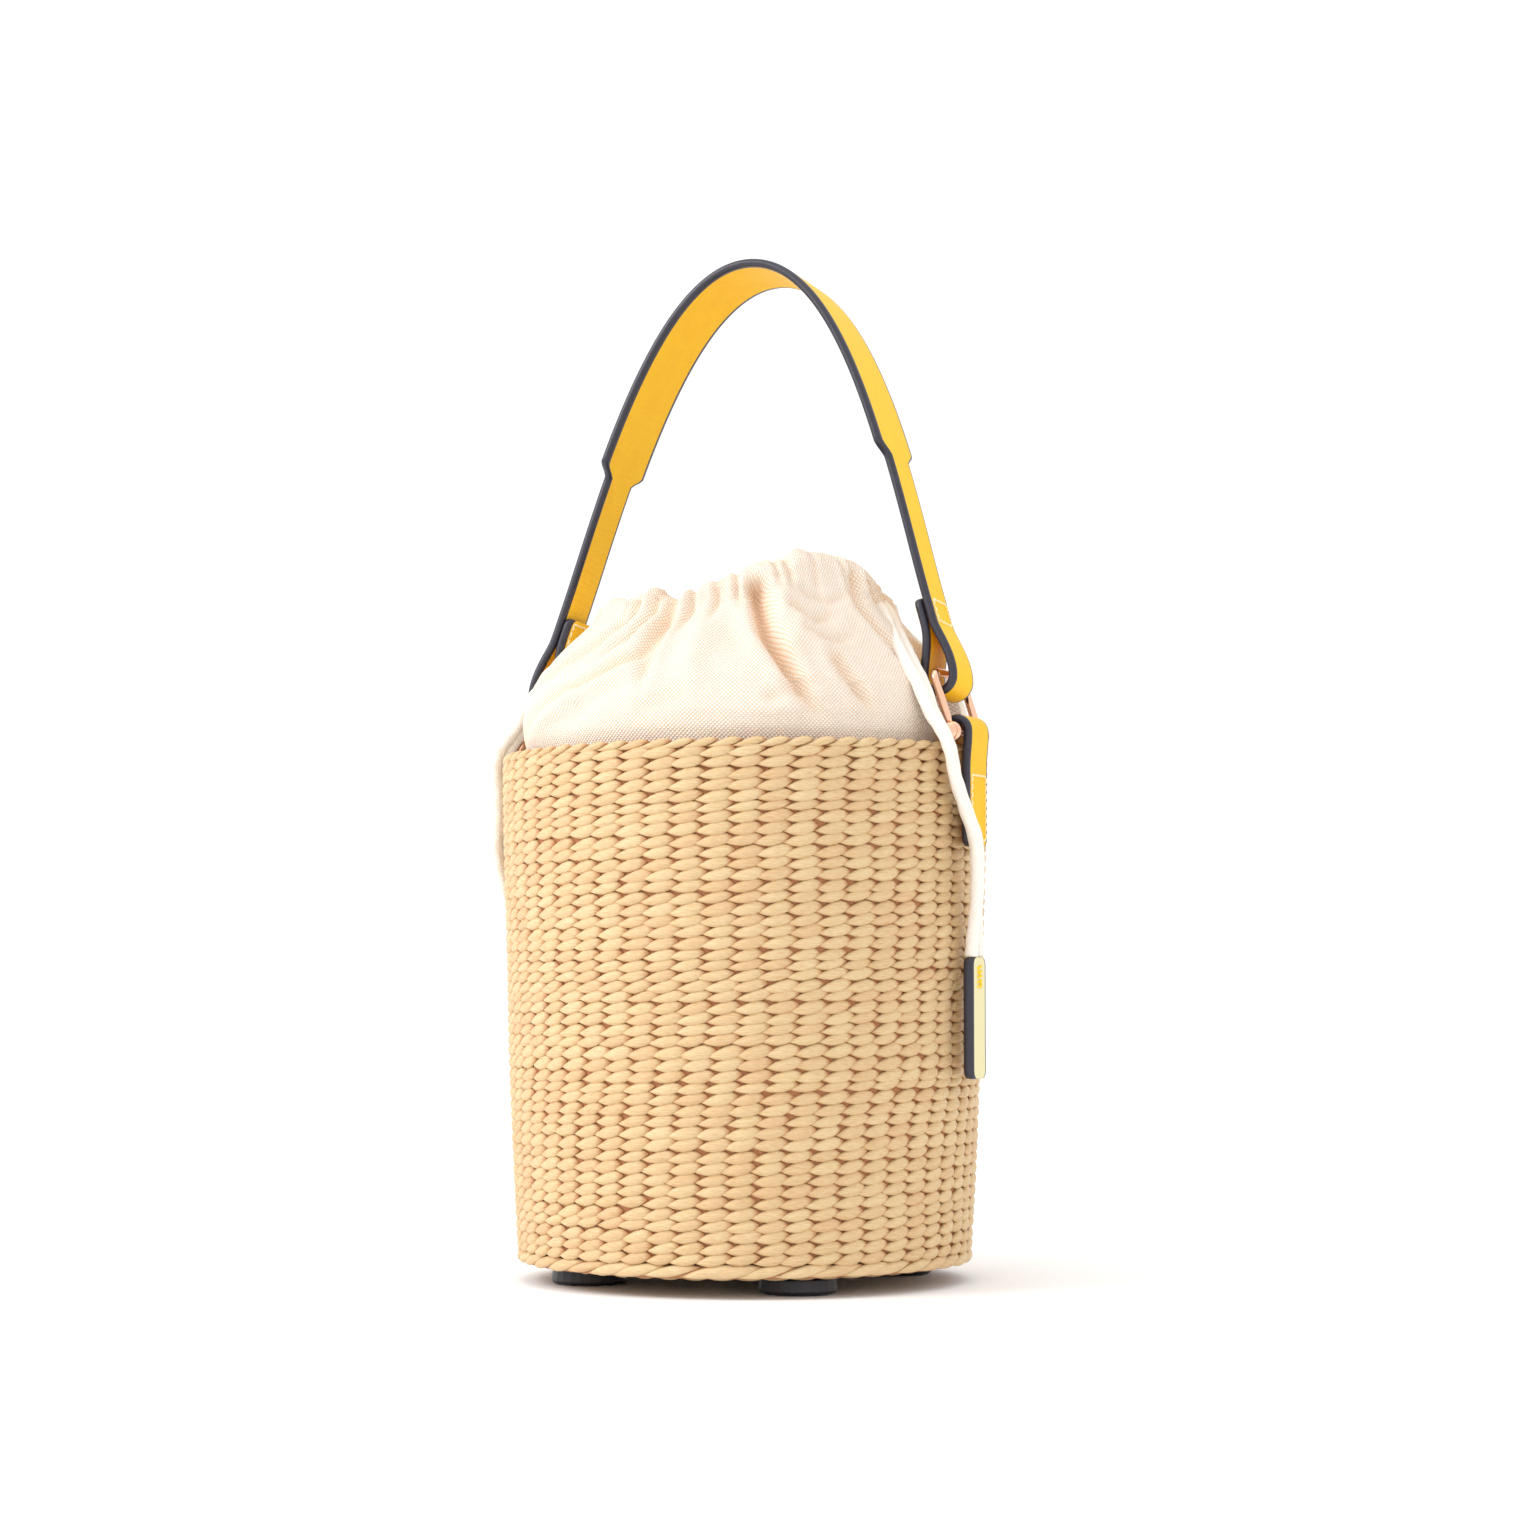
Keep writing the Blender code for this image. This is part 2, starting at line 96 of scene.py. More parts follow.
camera_data = bpy.data.cameras.new("camera")
camera_data.lens = 75
camera_data.sensor_width = 36
camera_data.clip_start = 0.05
camera = bpy.data.objects.new("camera", camera_data)
bpy.context.scene.collection.objects.link(camera)
camera.location = (CAMERA_AWAY * math.sin(CAMERA_TURN), -CAMERA_AWAY * math.cos(CAMERA_TURN), CAMERA_HEIGHT)
camera.rotation_euler = (math.radians(90) + CAMERA_PITCH, 0, CAMERA_TURN - CAMERA_YAW)
bpy.context.scene.camera = camera

bpy.context.scene.view_settings.view_transform = "Standard"
room = bpy.data.worlds.new("white_room")
room.use_nodes = True
room.node_tree.nodes["Background"].inputs["Color"].default_value = (1, 1, 1, 1)
room.node_tree.nodes["Background"].inputs["Strength"].default_value = 1.13
bpy.context.scene.world = room

for name, azimuth, elevation, distance, size, power in (
        ("key", -44, 34, 1.5, 0.7, 11), ("top", 10, 80, 1.4, 1.0, 2)):
    lamp = bpy.data.lights.new(name, "AREA")
    lamp.size = size
    lamp.energy = power
    lamp_object = bpy.data.objects.new(name, lamp)
    bpy.context.scene.collection.objects.link(lamp_object)
    lamp_object.location = shown_from(azimuth, elevation, distance)
    aim(lamp_object, LAMPS_AIM)

sweep_mesh = bpy.data.meshes.new("sweep")
sweep_mesh.from_pydata([(-6, -6, 0), (6, -6, 0), (6, 6, 0), (-6, 6, 0)], [], [(0, 1, 2, 3)])
sweep = bpy.data.objects.new("sweep", sweep_mesh)
bpy.context.scene.collection.objects.link(sweep)
sweep.location.z = -0.0003


def material(name):
    """A new node material: its name, its Principled shader and its node tree."""
    made = bpy.data.materials.new(name)
    made.use_nodes = True
    tree = made.node_tree
    return made, tree.nodes["Principled BSDF"], tree


def add(tree, kind, settings=None, **links):
    """A node of that kind, with its settings (socket values or properties) and its links."""
    node = tree.nodes.new("ShaderNode" + kind)
    for key, value in (settings or {}).items():
        if isinstance(key, int) or key in node.inputs:
            node.inputs[key].default_value = value
        else:
            setattr(node, key, value)
    for key, source in links.items():
        socket = int(key[1:]) if key[0] == "_" and key[1:].isdigit() else key.replace("_", " ")
        tree.links.new(source, node.inputs[socket])
    return node


def ramp(tree, factor, *stops):
    """A colour ramp read by a factor, from stops of (place, sRGB hex colour)."""
    node = add(tree, "ValToRGB", Fac=factor)
    first, last = node.color_ramp.elements
    first.position, last.position = stops[0][0], stops[-1][0]
    first.color, last.color = linear(stops[0][1]), linear(stops[-1][1])
    for place, colour in stops[1:-1]:
        node.color_ramp.elements.new(place).color = linear(colour)
    return node.outputs["Color"]


# Seamless paper: matt white, bright enough to run into the room behind it.
paper, shader, tree = material("paper_matt")
shader.inputs["Base Color"].default_value = linear("#FBFBFB")
shader.inputs["Roughness"].default_value = 0.95
sweep_mesh.materials.append(paper)

# Drawcords: soft braided cotton cord, 4.7 mm thick. Two strands of one cord leave a hole in the hem
# at each side, lie over the pouch, cross the rim beside the tab and end inside a leather pull.
CORD = 0.0047
CORD_APART = 0.0052
CORD_EXIT = (0.0518, 0.0, 0.2454)
LEFT_EXIT_LIFT = 0.0052
PULL_RADIUS = 0.0930
PULL_TURN = -2.0         # degrees from +X; minus is towards the front
PULL_PIVOT_Z = 0.1175
# Each place: distance from the axis, turn in degrees, height, and how many degrees the line across
# the two strands is turned away from the basket's tangent.
CORD_ROUTE = [(*CORD_EXIT, 0), (0.0548, -0.8, 0.2454, 0), (0.0597, -3.5, 0.2412, 0),
              (0.0640, -6.5, 0.2353, 0), (0.0700, -9.8, 0.2280, 0), (0.0757, -12.1, 0.2212, 4),
              (0.0815, -13.5, 0.2140, 12), (0.0872, -14.2, 0.2035, 22), (0.0926, -14.3, 0.1960, 30),
              (0.0948, -13.5, 0.1890, 34), (0.0948, -11.8, 0.1800, 35), (0.0960, -9.4, 0.1700, 35),
              (0.0980, -7.2, 0.1590, 35), (0.0972, -5.6, 0.1480, 34), (0.0950, -3.6, 0.1350, 28),
              (0.0933, -2.2, 0.1240, 8), (PULL_RADIUS, PULL_TURN, PULL_PIVOT_Z, 0)]


def around(radius, turn, z):
    """The point at that distance from the basket's axis and turn in degrees from +X."""
    a = math.radians(turn)
    return Vector((radius * math.cos(a), radius * math.sin(a), z))


def smooth_route(points, count):
    """Evenly many points on a Catmull-Rom curve through the given ones."""
    ends = [points[0] * 2 - points[1]] + points + [points[-1] * 2 - points[-2]]
    made = []
    for i in range(count):
        whole = (len(points) - 1) * i / (count - 1)
        k = min(int(whole), len(points) - 2)
        t = whole - k
        a, b, c, d = ends[k:k + 4]
        made.append(0.5 * (2 * b + (c - a) * t + (2 * a - 5 * b + 4 * c - d) * t ** 2
                           + (3 * b - a - 3 * c + d) * t ** 3))
    return made


def new_piece(name, verts, faces, finish, smooth=True):
    """A mesh piece in the scene with one or more materials."""
    mesh = bpy.data.meshes.new(name)
    mesh.from_pydata([tuple(v) for v in verts], [], faces)
    for one in finish if isinstance(finish, (list, tuple)) else [finish]:
        mesh.materials.append(one)
    if smooth:
        mesh.shade_smooth()
    piece = bpy.data.objects.new(name, mesh)
    bpy.context.scene.collection.objects.link(piece)
    return piece


def note(piece, name, values, kind="FLOAT"):
    """Store a value per point, for the material to read."""
    layer = piece.data.attributes.new(name, kind, "POINT")
    field = "value" if kind == "FLOAT" else "vector"
    layer.data.foreach_set(field, np.asarray(values, np.float32).ravel())


def tube(points, half_width, sides):
    """Rings of a round tube along points; half_width(i, turn) gives each point's distance."""
    rings = []
    normal = None
    last = len(points) - 1
    for i, point in enumerate(points):
        along = (points[min(i + 1, last)] - points[max(i - 1, 0)]).normalized()
        if normal is None:
            normal = along.orthogonal().normalized()
        normal = (normal - along * normal.dot(along)).normalized()
        side = along.cross(normal)
        for k in range(sides):
            turn = 2 * math.pi * k / sides
            rings.append(point + (normal * math.cos(turn) + side * math.sin(turn)) * half_width(i, turn))
    faces = []
    for i in range(last):
        for k in range(sides):
            here = i * sides + k
            beside = i * sides + (k + 1) % sides
            faces.append((here, beside, beside + sides, here + sides))
    faces.append(tuple(reversed(range(sides))))
    faces.append(tuple(range(last * sides, (last + 1) * sides)))
    return rings, faces


# Cotton braid: undyed and matt, with a fine diagonal relief about 1 mm apart over the low plait.
cotton_braid, shader, tree = material("cotton_braid_undyed")
spot = add(tree, "Attribute", {"attribute_name": "plait"})
plaits = add(tree, "TexWave", {"wave_type": "BANDS", "bands_direction": "DIAGONAL", "Scale": 0.42,
                               "Distortion": 0.6, "Detail": 1.0}, Vector=spot.outputs["Vector"])
fuzz = add(tree, "TexNoise", {"Scale": 2.2, "Detail": 3.0}, Vector=spot.outputs["Vector"])
shade = ramp(tree, fuzz.outputs["Fac"], (0, "#EFE4D6"), (1, "#FDFAF4"))
tree.links.new(shade, shader.inputs["Base Color"])
relief = add(tree, "Bump", {"Strength": 0.35, "Distance": 0.0003}, Height=plaits.outputs["Fac"])
relief_fine = add(tree, "Bump", {"Strength": 0.3, "Distance": 0.0002}, Height=fuzz.outputs["Fac"],
                  Normal=relief.outputs["Normal"])
tree.links.new(relief_fine.outputs["Normal"], shader.inputs["Normal"])
shader.inputs["Roughness"].default_value = 0.9
shader.inputs["Sheen Weight"].default_value = 0.25

for side, mirrored in (("right", 1), ("left", -1)):
    lift = Vector((0, 0, 0 if mirrored == 1 else LEFT_EXIT_LIFT))
    route = [around(radius, turn, z) for radius, turn, z, _ in CORD_ROUTE]
    route[0] += lift
    route[1] += lift
    route[2] += lift * 0.3
    for strand, across in (("front", -0.5), ("back", 0.5)):
        line = [p + around(CORD_APART * across, turn + 90 + over, 0)
                for p, (_, turn, _, over) in zip(route, CORD_ROUTE)]
        line = [Vector((p.x * mirrored, p.y, p.z)) for p in smooth_route(line, 170)]
        length = sum((b - a).length for a, b in zip(line, line[1:]))
        step = length / (len(line) - 1)

        def plaited(i, turn):
            """Half the cord's thickness, with the low relief of an eight-strand plait."""
            run = i * step * 2 * math.pi / 0.0075
            return CORD / 2 * (1 + 0.022 * math.cos(4 * turn + run) + 0.022 * math.cos(4 * turn - run))

        verts, faces = tube(line, plaited, 20)
        cord = new_piece(f"drawcord_{side}_{strand}_braid", verts, faces, cotton_braid)
        note(cord, "plait", [(k % 20 * 0.74, k // 20 * step * 1000, 0) for k in range(len(verts))],
             "FLOAT_VECTOR")
        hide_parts(f"drawcord_{side}_{strand}")
        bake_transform(cord)

# Basket wall: dried rush twined in 46 courses over upright canes. Each stitch is a plump leaf that rises
# to the right, with both ends tucked behind its neighbours, and painted brown shade in the gaps where they
# meet.
WALL = 0.0046
WALL_OUTSIDE = [(0.0833, 0.0126), (0.0848, 0.037), (0.0861, 0.066), (0.0870, 0.088), (0.0877, 0.118),
                (0.0885, 0.140), (0.0893, 0.168), (0.0897, 0.1924)]
RIM_Z = 0.1924
COURSES = 46
STITCHES = 54
COURSES_LOW = 0.0113
COURSES_HIGH = 0.1894
STITCH_THICK = 0.0028
STITCH_TUCK = 0.0005
STITCH_RISE = 0.115      # slope of a stitch, rise over run
HAND_TILT = 0.0012       # how far the top courses climb across the front
CLIMB_TURN = math.radians(26.6)    # the direction in which they climb, from +X
THICK_COURSES = [17, 18, 31, 39]   # courses of fatter stalks, counted from 0 at the bottom
dice = np.random.default_rng(31)


def wall_radius(z):
    """Outside radius of the basket wall at that height."""
    radii, heights = zip(*WALL_OUTSIDE)
    return np.interp(z, heights, radii)


def leaves(long, high, thick, rise, tuck, sides=8, rings=7):
    """Closed leaf shapes, one per row: along, across and outwards coordinates, and one leaf's faces."""
    u = np.sin(np.pi / 2 * np.linspace(-1, 1, rings + 2))
    u[0], u[-1] = -1, 1
    turn = 2 * np.pi * np.arange(sides) / sides
    belly = u - 0.20 * (1 - u ** 2)
    swell = np.clip(1 - np.abs(belly) ** 1.75, 0, 1) ** np.where(belly < 0, 1.12, 0.86)
    depth = np.clip(1 - u ** 2, 0, 1) ** 0.45
    ring_u = u[1:-1]
    a = long[:, None, None] * ring_u[None, :, None] + 0 * turn
    lift = rise[:, None, None] * a + np.sin(np.pi * ring_u)[None, :, None] * high[:, None, None] * 0.10
    b = lift + high[:, None, None] * swell[None, 1:-1, None] * np.cos(turn)
    c = (-thick[:, None, None] - tuck[:, None, None] * np.abs(ring_u)[None, :, None] ** 2.4
         + thick[:, None, None] * depth[None, 1:-1, None] * np.sin(turn) - 0.14 * (b - lift))
    count = len(long)
    body = np.stack([a, b, c], axis=-1).reshape(count, rings * sides, 3)
    tips = np.zeros((count, 2, 3))
    for k, end in enumerate((-1, 1)):
        tips[:, k, 0] = long * end
        tips[:, k, 1] = rise * long * end
        tips[:, k, 2] = -thick - tuck
    points = np.concatenate([body, tips], axis=1)
    faces = []
    for r in range(rings - 1):
        for k in range(sides):
            here = r * sides + k
            beside = r * sides + (k + 1) % sides
            faces.append((here, here + sides, beside + sides, beside))
    first, last = rings * sides, rings * sides + 1
    for k in range(sides):
        beside = (k + 1) % sides
        faces.append((k, beside, first))
        faces.append(((rings - 1) * sides + beside, (rings - 1) * sides + k, last))
    return points, faces, np.abs(np.concatenate([np.repeat(ring_u, sides), [1, 1]]))


def rush_piece(name, local, faces, ends, world, finish, seed):
    """Stitches as one piece, with fibre direction, tuck and tone stored for the rush material."""
    count, each = local.shape[:2]
    verts = world.reshape(-1, 3)
    all_faces = []
    for face in faces:
        all_faces += (np.arange(count)[:, None] * each + np.array(face)[None, :]).tolist()
    piece = new_piece(name, verts.tolist(), all_faces, finish)
    tones = np.random.default_rng(seed).random(count)
    fibre = np.stack([local[..., 0] * 1000, local[..., 1] * 1000 + tones[:, None] * 400,
                      np.repeat(tones[:, None] * 90, each, 1)], axis=-1)
    note(piece, "fibre", fibre, "FLOAT_VECTOR")
    note(piece, "tucked", np.tile(ends, count))
    note(piece, "tone", np.repeat(tones, each))
    return piece


# Rush: dried water-plant stalk, flattened and twisted, satin, straw yellow with some stalks slightly
# pinker or paler. Its fibres run along each stitch, about 0.25 mm apart, with broader ridges 1 mm apart.
rush, shader, tree = material("rush_dried_twined")
run = add(tree, "Attribute", {"attribute_name": "fibre"})
tone = add(tree, "Attribute", {"attribute_name": "tone"})
tucked = add(tree, "Attribute", {"attribute_name": "tucked"})
stretched = add(tree, "VectorMath", {"operation": "MULTIPLY", 1: (0.16, 1.9, 1.0)}, _0=run.outputs["Vector"])
folds = add(tree, "TexNoise", {"Scale": 0.55, "Detail": 2.0, "Roughness": 0.5}, Vector=stretched.outputs[0])
fibres = add(tree, "TexNoise", {"Scale": 2.1, "Detail": 3.0, "Roughness": 0.6}, Vector=stretched.outputs[0])
stalk = ramp(tree, tone.outputs["Fac"], (0, "#DABE92"), (0.22, "#DEC699"), (0.45, "#D9BB8F"),
             (0.62, "#E0C89D"), (0.80, "#D9BD90"), (0.93, "#DABB8F"), (1, "#D8B88C"))
streak = ramp(tree, fibres.outputs["Fac"], (0.30, "#E2BC92"), (0.62, "#FFFFFF"))
streaked = add(tree, "Mix", {"data_type": "RGBA", "blend_type": "MULTIPLY", 0: 0.55},
               _6=stalk, _7=streak)
# Painted shade: each stitch darkens to brown towards its tucked ends, where it passes behind its neighbours.
end_shade = ramp(tree, tucked.outputs["Fac"], (0.62, "#FFFFFF"), (1, "#D09A70"))
tucked_ends_shaded = add(tree, "Mix", {"data_type": "RGBA", "blend_type": "MULTIPLY", 0: 0.9},
           _6=streaked.outputs[2], _7=end_shade)
tree.links.new(tucked_ends_shaded.outputs[2], shader.inputs["Base Color"])
ridges = add(tree, "Bump", {"Strength": 0.55, "Distance": 0.0007}, Height=folds.outputs["Fac"])
grain = add(tree, "Bump", {"Strength": 0.35, "Distance": 0.00025}, Height=fibres.outputs["Fac"],
            Normal=ridges.outputs["Normal"])
tree.links.new(grain.outputs["Normal"], shader.inputs["Normal"])
shader.inputs["Roughness"].default_value = 0.52
shader.inputs["Specular IOR Level"].default_value = 0.42

weights = np.clip(1 + 0.065 * dice.standard_normal(COURSES), 0.85, 1.2)
weights[THICK_COURSES] *= 1.14
edges = COURSES_LOW + (COURSES_HIGH - COURSES_LOW) * np.concatenate([[0], np.cumsum(weights) / weights.sum()])
course = np.repeat(np.arange(COURSES), STITCHES)
place = np.tile(np.arange(STITCHES), COURSES)
high_course = (edges[1:] - edges[:-1])[course]
sway = np.convolve(dice.standard_normal(COURSES + 8), np.ones(9) / 9, "valid")[course]
theta = 2 * np.pi * (place + 0.5 + 0.55 * sway + 0.035 * dice.standard_normal(len(place))) / STITCHES
wander = np.zeros(len(place))
for waves in (1, 2, 3, 5):
    size = dice.standard_normal(COURSES)[course] * 0.00011
    wander += size * np.sin(waves * theta + (dice.random(COURSES) * 6.28)[course])
middle = (edges[1:] + edges[:-1])[course] / 2 + wander + 0.00010 * dice.standard_normal(len(place))
pitch = 2 * np.pi * wall_radius(middle) / STITCHES
long = pitch * (0.71 + 0.025 * dice.standard_normal(len(place)))
high = high_course * (0.665 + 0.025 * dice.standard_normal(len(place)))
thick = np.full(len(place), STITCH_THICK / 2) * (1 + 0.06 * dice.standard_normal(len(place)))
rise = STITCH_RISE * (1 + 0.16 * dice.standard_normal(len(place)))
tuck = np.full(len(place), STITCH_TUCK)
local, leaf_faces, leaf_ends = leaves(long, high, thick, rise, tuck)


def tilt(x, y, z):
    """How far the hand-made courses climb at that place."""
    right = x * math.cos(CLIMB_TURN) + y * math.sin(CLIMB_TURN)
    return HAND_TILT * right / 0.09 * np.clip(z / RIM_Z, 0, 1)


def on_wall(local, theta, middle, proud):
    """Strip coordinates wrapped round the basket wall."""
    z = middle[:, None] + local[..., 1]
    radius = wall_radius(z) + local[..., 2] + proud
    turn = theta[:, None] + local[..., 0] / wall_radius(middle)[:, None]
    x, y = radius * np.cos(turn), radius * np.sin(turn)
    return np.stack([x, y, z + tilt(x, y, z)], axis=-1)


weave = on_wall(local, theta, middle, 0.0002)
half = (COURSES // 2) * STITCHES
for name, part in (("basket_weave_lower", slice(0, half)), ("basket_weave_upper", slice(half, None))):
    piece = rush_piece(name, local[part], leaf_faces, leaf_ends, weave[part], rush, 5 + (part.start or 0))
    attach(piece, "basket")
    if name.endswith("lower"):
        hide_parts("basket_wall")

# Rim: the last course has 66 lower, thicker and slightly steeper stitches over the wall's top.
RIM_STITCHES = 66
theta_rim = 2 * np.pi * (np.arange(RIM_STITCHES) + 0.5) / RIM_STITCHES
ones = np.ones(RIM_STITCHES)
local, leaf_faces, leaf_ends = leaves(0.0068 * ones, 0.00165 * ones, 0.00225 * ones, 0.17 * ones,
                                      0.0003 * ones, sides=10)
rim_strands = rush_piece("basket_rim_course", local, leaf_faces, leaf_ends,
                         on_wall(local, theta_rim, 0.19055 * ones, 0.0001), rush, 11)
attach(rim_strands, "basket")


def revolved(outline, steps):
    """Points and faces of a closed outline (radius, height) turned about the upright axis."""
    verts = [around(radius, 360 * k / steps, z) for k in range(steps) for radius, z in outline]
    size = len(outline)
    faces = []
    for k in range(steps):
        following = (k + 1) % steps
        for i in range(size):
            j = (i + 1) % size
            faces.append((k * size + i, following * size + i, following * size + j, k * size + j))
    return verts, faces


# Uprights behind the stitches: the inside of the wall, a darker brown than the rush as painted shade, which
# shows only in the gaps.
stake, shader, tree = material("cane_upright_shaded")
patch = add(tree, "TexNoise", {"Scale": 260.0, "Detail": 2.0})
gap_shade = ramp(tree, patch.outputs["Fac"], (0, "#9C6240"), (1, "#C48C62"))
tree.links.new(gap_shade, shader.inputs["Base Color"])
roughen = add(tree, "Bump", {"Strength": 0.4, "Distance": 0.0004}, Height=patch.outputs["Fac"])
tree.links.new(roughen.outputs["Normal"], shader.inputs["Normal"])
shader.inputs["Roughness"].default_value = 0.85
core = [(r - 0.0019, z) for r, z in WALL_OUTSIDE[:-1]] + [(0.0875, 0.1900)]
core += [(r - WALL, z) for r, z in reversed([*WALL_OUTSIDE[:-1], (0.0897, 0.1900)])]
verts, faces = revolved(core, 120)
uprights = new_piece("basket_uprights", verts, faces, stake)
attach(uprights, "basket")

# Bottom border: the wall's stalks turned down and twisted into a rope of long overlapping strands,
# each rising to the right and tucked under the next, which hides the corner of wall and base.
BORDER_RADIUS = 0.0796
BORDER_HALF = 0.00365
BORDER_Z = 0.00905
BORDER_CORE = 0.0024
STRANDS = 44
ones = np.ones(STRANDS)
theta_border = 2 * np.pi * (np.arange(STRANDS) + 0.10 * dice.standard_normal(STRANDS)) / STRANDS
local, leaf_faces, leaf_ends = leaves(0.0122 * ones, 0.0036 * (1 + 0.05 * dice.standard_normal(STRANDS)),
                                      0.0015 * ones, 0.30 * (1 + 0.06 * dice.standard_normal(STRANDS)),
                                      0.0008 * ones, sides=14, rings=13)
turn = theta_border[:, None] + local[..., 0] / (BORDER_RADIUS + BORDER_HALF)
bend_round = local[..., 1] / 0.0040 + 0.16
from_core = BORDER_HALF + local[..., 2] + 0.0002
radius = BORDER_RADIUS + from_core * np.cos(bend_round)
rope = np.stack([radius * np.cos(turn), radius * np.sin(turn), BORDER_Z + from_core * np.sin(bend_round)],
                axis=-1)
border = rush_piece("bottom_border_twist", local, leaf_faces, leaf_ends, rope, rush, 17)
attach(border, "basket")
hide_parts("base_border")
# The rope's core, in the same painted-shade brown, shows between the strands.
twelfths = [k * math.pi / 6 for k in range(12)]
verts, faces = revolved([(BORDER_RADIUS + BORDER_CORE * math.cos(a), BORDER_Z + BORDER_CORE * math.sin(a))
                         for a in twelfths], 120)
border_core = new_piece("bottom_border_core", verts, faces, stake)
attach(border_core, "basket")

# Base: the same rush twined in flat rings from the middle out, 3.9 mm apart, over a backing disc.
BASE_LOW = 0.0053
BASE_HIGH = 0.0095
BASE_RADIUS = 0.0755
RING_APART = 0.0039
BASE_STITCH = 0.0096
ring_radius, ring_turn = [], []
for ring in range(19):
    radius = 0.0024 + RING_APART * ring
    around_it = max(4, round(2 * math.pi * radius / BASE_STITCH))
    for k in range(around_it):
        ring_radius.append(radius)
        ring_turn.append(2 * math.pi * (k + 0.37 * ring) / around_it)
ring_radius, ring_turn = np.array(ring_radius), np.array(ring_turn)
counts = np.maximum(4, np.round(2 * np.pi * ring_radius / BASE_STITCH))
ones = np.ones(len(ring_radius))
local, leaf_faces, leaf_ends = leaves(np.pi * ring_radius / counts * 1.2, 0.0023 * ones, 0.0011 * ones,
                                      0.16 * ones, 0.0004 * ones)
from_middle = np.minimum(ring_radius[:, None] + local[..., 1], BASE_RADIUS)
turn = ring_turn[:, None] + local[..., 0] / ring_radius[:, None]
flat = np.stack([from_middle * np.cos(turn), from_middle * np.sin(turn),
                 BASE_LOW + 0.0001 - local[..., 2]], axis=-1)
turned_over = [tuple(reversed(f)) for f in leaf_faces]
base_weave = rush_piece("base_weave", local, turned_over, leaf_ends, flat, rush, 23)
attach(base_weave, "basket")
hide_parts("basket_base")
# The backing disc, in the same painted-shade brown, shows between the rings.
verts, faces = revolved([(0.0002, BASE_LOW + 0.0014), (BASE_RADIUS, BASE_LOW + 0.0014),
                         (BASE_RADIUS, BASE_HIGH), (0.0002, BASE_HIGH)], 96)
backing = new_piece("base_backing", verts, faces, stake, smooth=False)
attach(backing, "basket")

# Stiffening board above the base: plain pressed fibreboard, brown and faintly mottled, with four
# holes for the feet's rivets. The lining covers it.
pressed_board, shader, tree = material("fibreboard_pressed")
mottle = add(tree, "TexNoise", {"Scale": 900.0, "Detail": 4.0})
board_tone = ramp(tree, mottle.outputs["Fac"], (0, "#6E5B41"), (1, "#9C8360"))
tree.links.new(board_tone, shader.inputs["Base Color"])
shader.inputs["Roughness"].default_value = 0.8
bpy.data.objects["base_board"].data.materials[0] = pressed_board

# Feet: black nylon discs 28 mm across and 5 mm high, moulded with a fine satin texture, each held by
# a steel rivet that is spread over a washer inside the bag.
black_nylon, shader, tree = material("nylon_black_moulded")
spark = add(tree, "TexNoise", {"Scale": 1600.0, "Detail": 2.0})
skin = add(tree, "Bump", {"Strength": 0.25, "Distance": 0.0001}, Height=spark.outputs["Fac"])
tree.links.new(skin.outputs["Normal"], shader.inputs["Normal"])
cloudy = ramp(tree, spark.outputs["Fac"], (0, "#17151B"), (1, "#26232B"))
tree.links.new(cloudy, shader.inputs["Base Color"])
shader.inputs["Roughness"].default_value = 0.38
shader.inputs["IOR"].default_value = 1.53
rivet_steel, shader, tree = material("steel_zinc_plated")
scuff = add(tree, "TexNoise", {"Scale": 700.0, "Detail": 3.0})
dull = add(tree, "MapRange", {"To Min": 0.28, "To Max": 0.48}, Value=scuff.outputs["Fac"])
tree.links.new(dull.outputs["Result"], shader.inputs["Roughness"])
shader.inputs["Base Color"].default_value = linear("#B9B9BC")
shader.inputs["Metallic"].default_value = 1.0
for corner in ("right_back", "left_back", "left_front", "right_front"):
    bpy.data.objects["foot_" + corner].data.materials[0] = black_nylon
    bpy.data.objects["foot_rivet_" + corner].data.materials[0] = rivet_steel
    bpy.data.objects["foot_washer_" + corner].data.materials[0] = rivet_steel

# Pouch lining: the part of the canvas pouch that lines the basket, glued under the rim, with a flat
# bottom over the board. It is the same cloth as the gathered top.
CANVAS = 0.0012

# Cotton canvas: undyed plain weave, matt and slightly fuzzy. Yarns are 0.75 mm apart, and the over-and-under
# pattern shows as a fine diagonal grain, with painted peach shade where one yarn dips under the other.
canvas, shader, tree = material("cotton_canvas_plain_weave")
cloth = add(tree, "Attribute", {"attribute_name": "cloth"})
yarns = []
for direction in ("X", "Y"):
    yarns.append(add(tree, "TexWave", {"wave_type": "BANDS", "bands_direction": direction, "Scale": 0.21,
                                       "Distortion": 0.5, "Detail": 1.0, "Detail Scale": 0.6},
                     Vector=cloth.outputs["Vector"]))
crossing = add(tree, "Math", {"operation": "SUBTRACT"}, _0=yarns[0].outputs["Fac"],
               _1=yarns[1].outputs["Fac"])
over = add(tree, "Math", {"operation": "ABSOLUTE"}, _0=crossing.outputs[0])
slub = add(tree, "TexNoise", {"Scale": 0.9, "Detail": 3.0}, Vector=cloth.outputs["Vector"])
blotch = add(tree, "TexNoise", {"Scale": 0.06, "Detail": 2.0}, Vector=cloth.outputs["Vector"])
ecru = ramp(tree, blotch.outputs["Fac"], (0, "#F9F0E4"), (1, "#FCF6ED"))
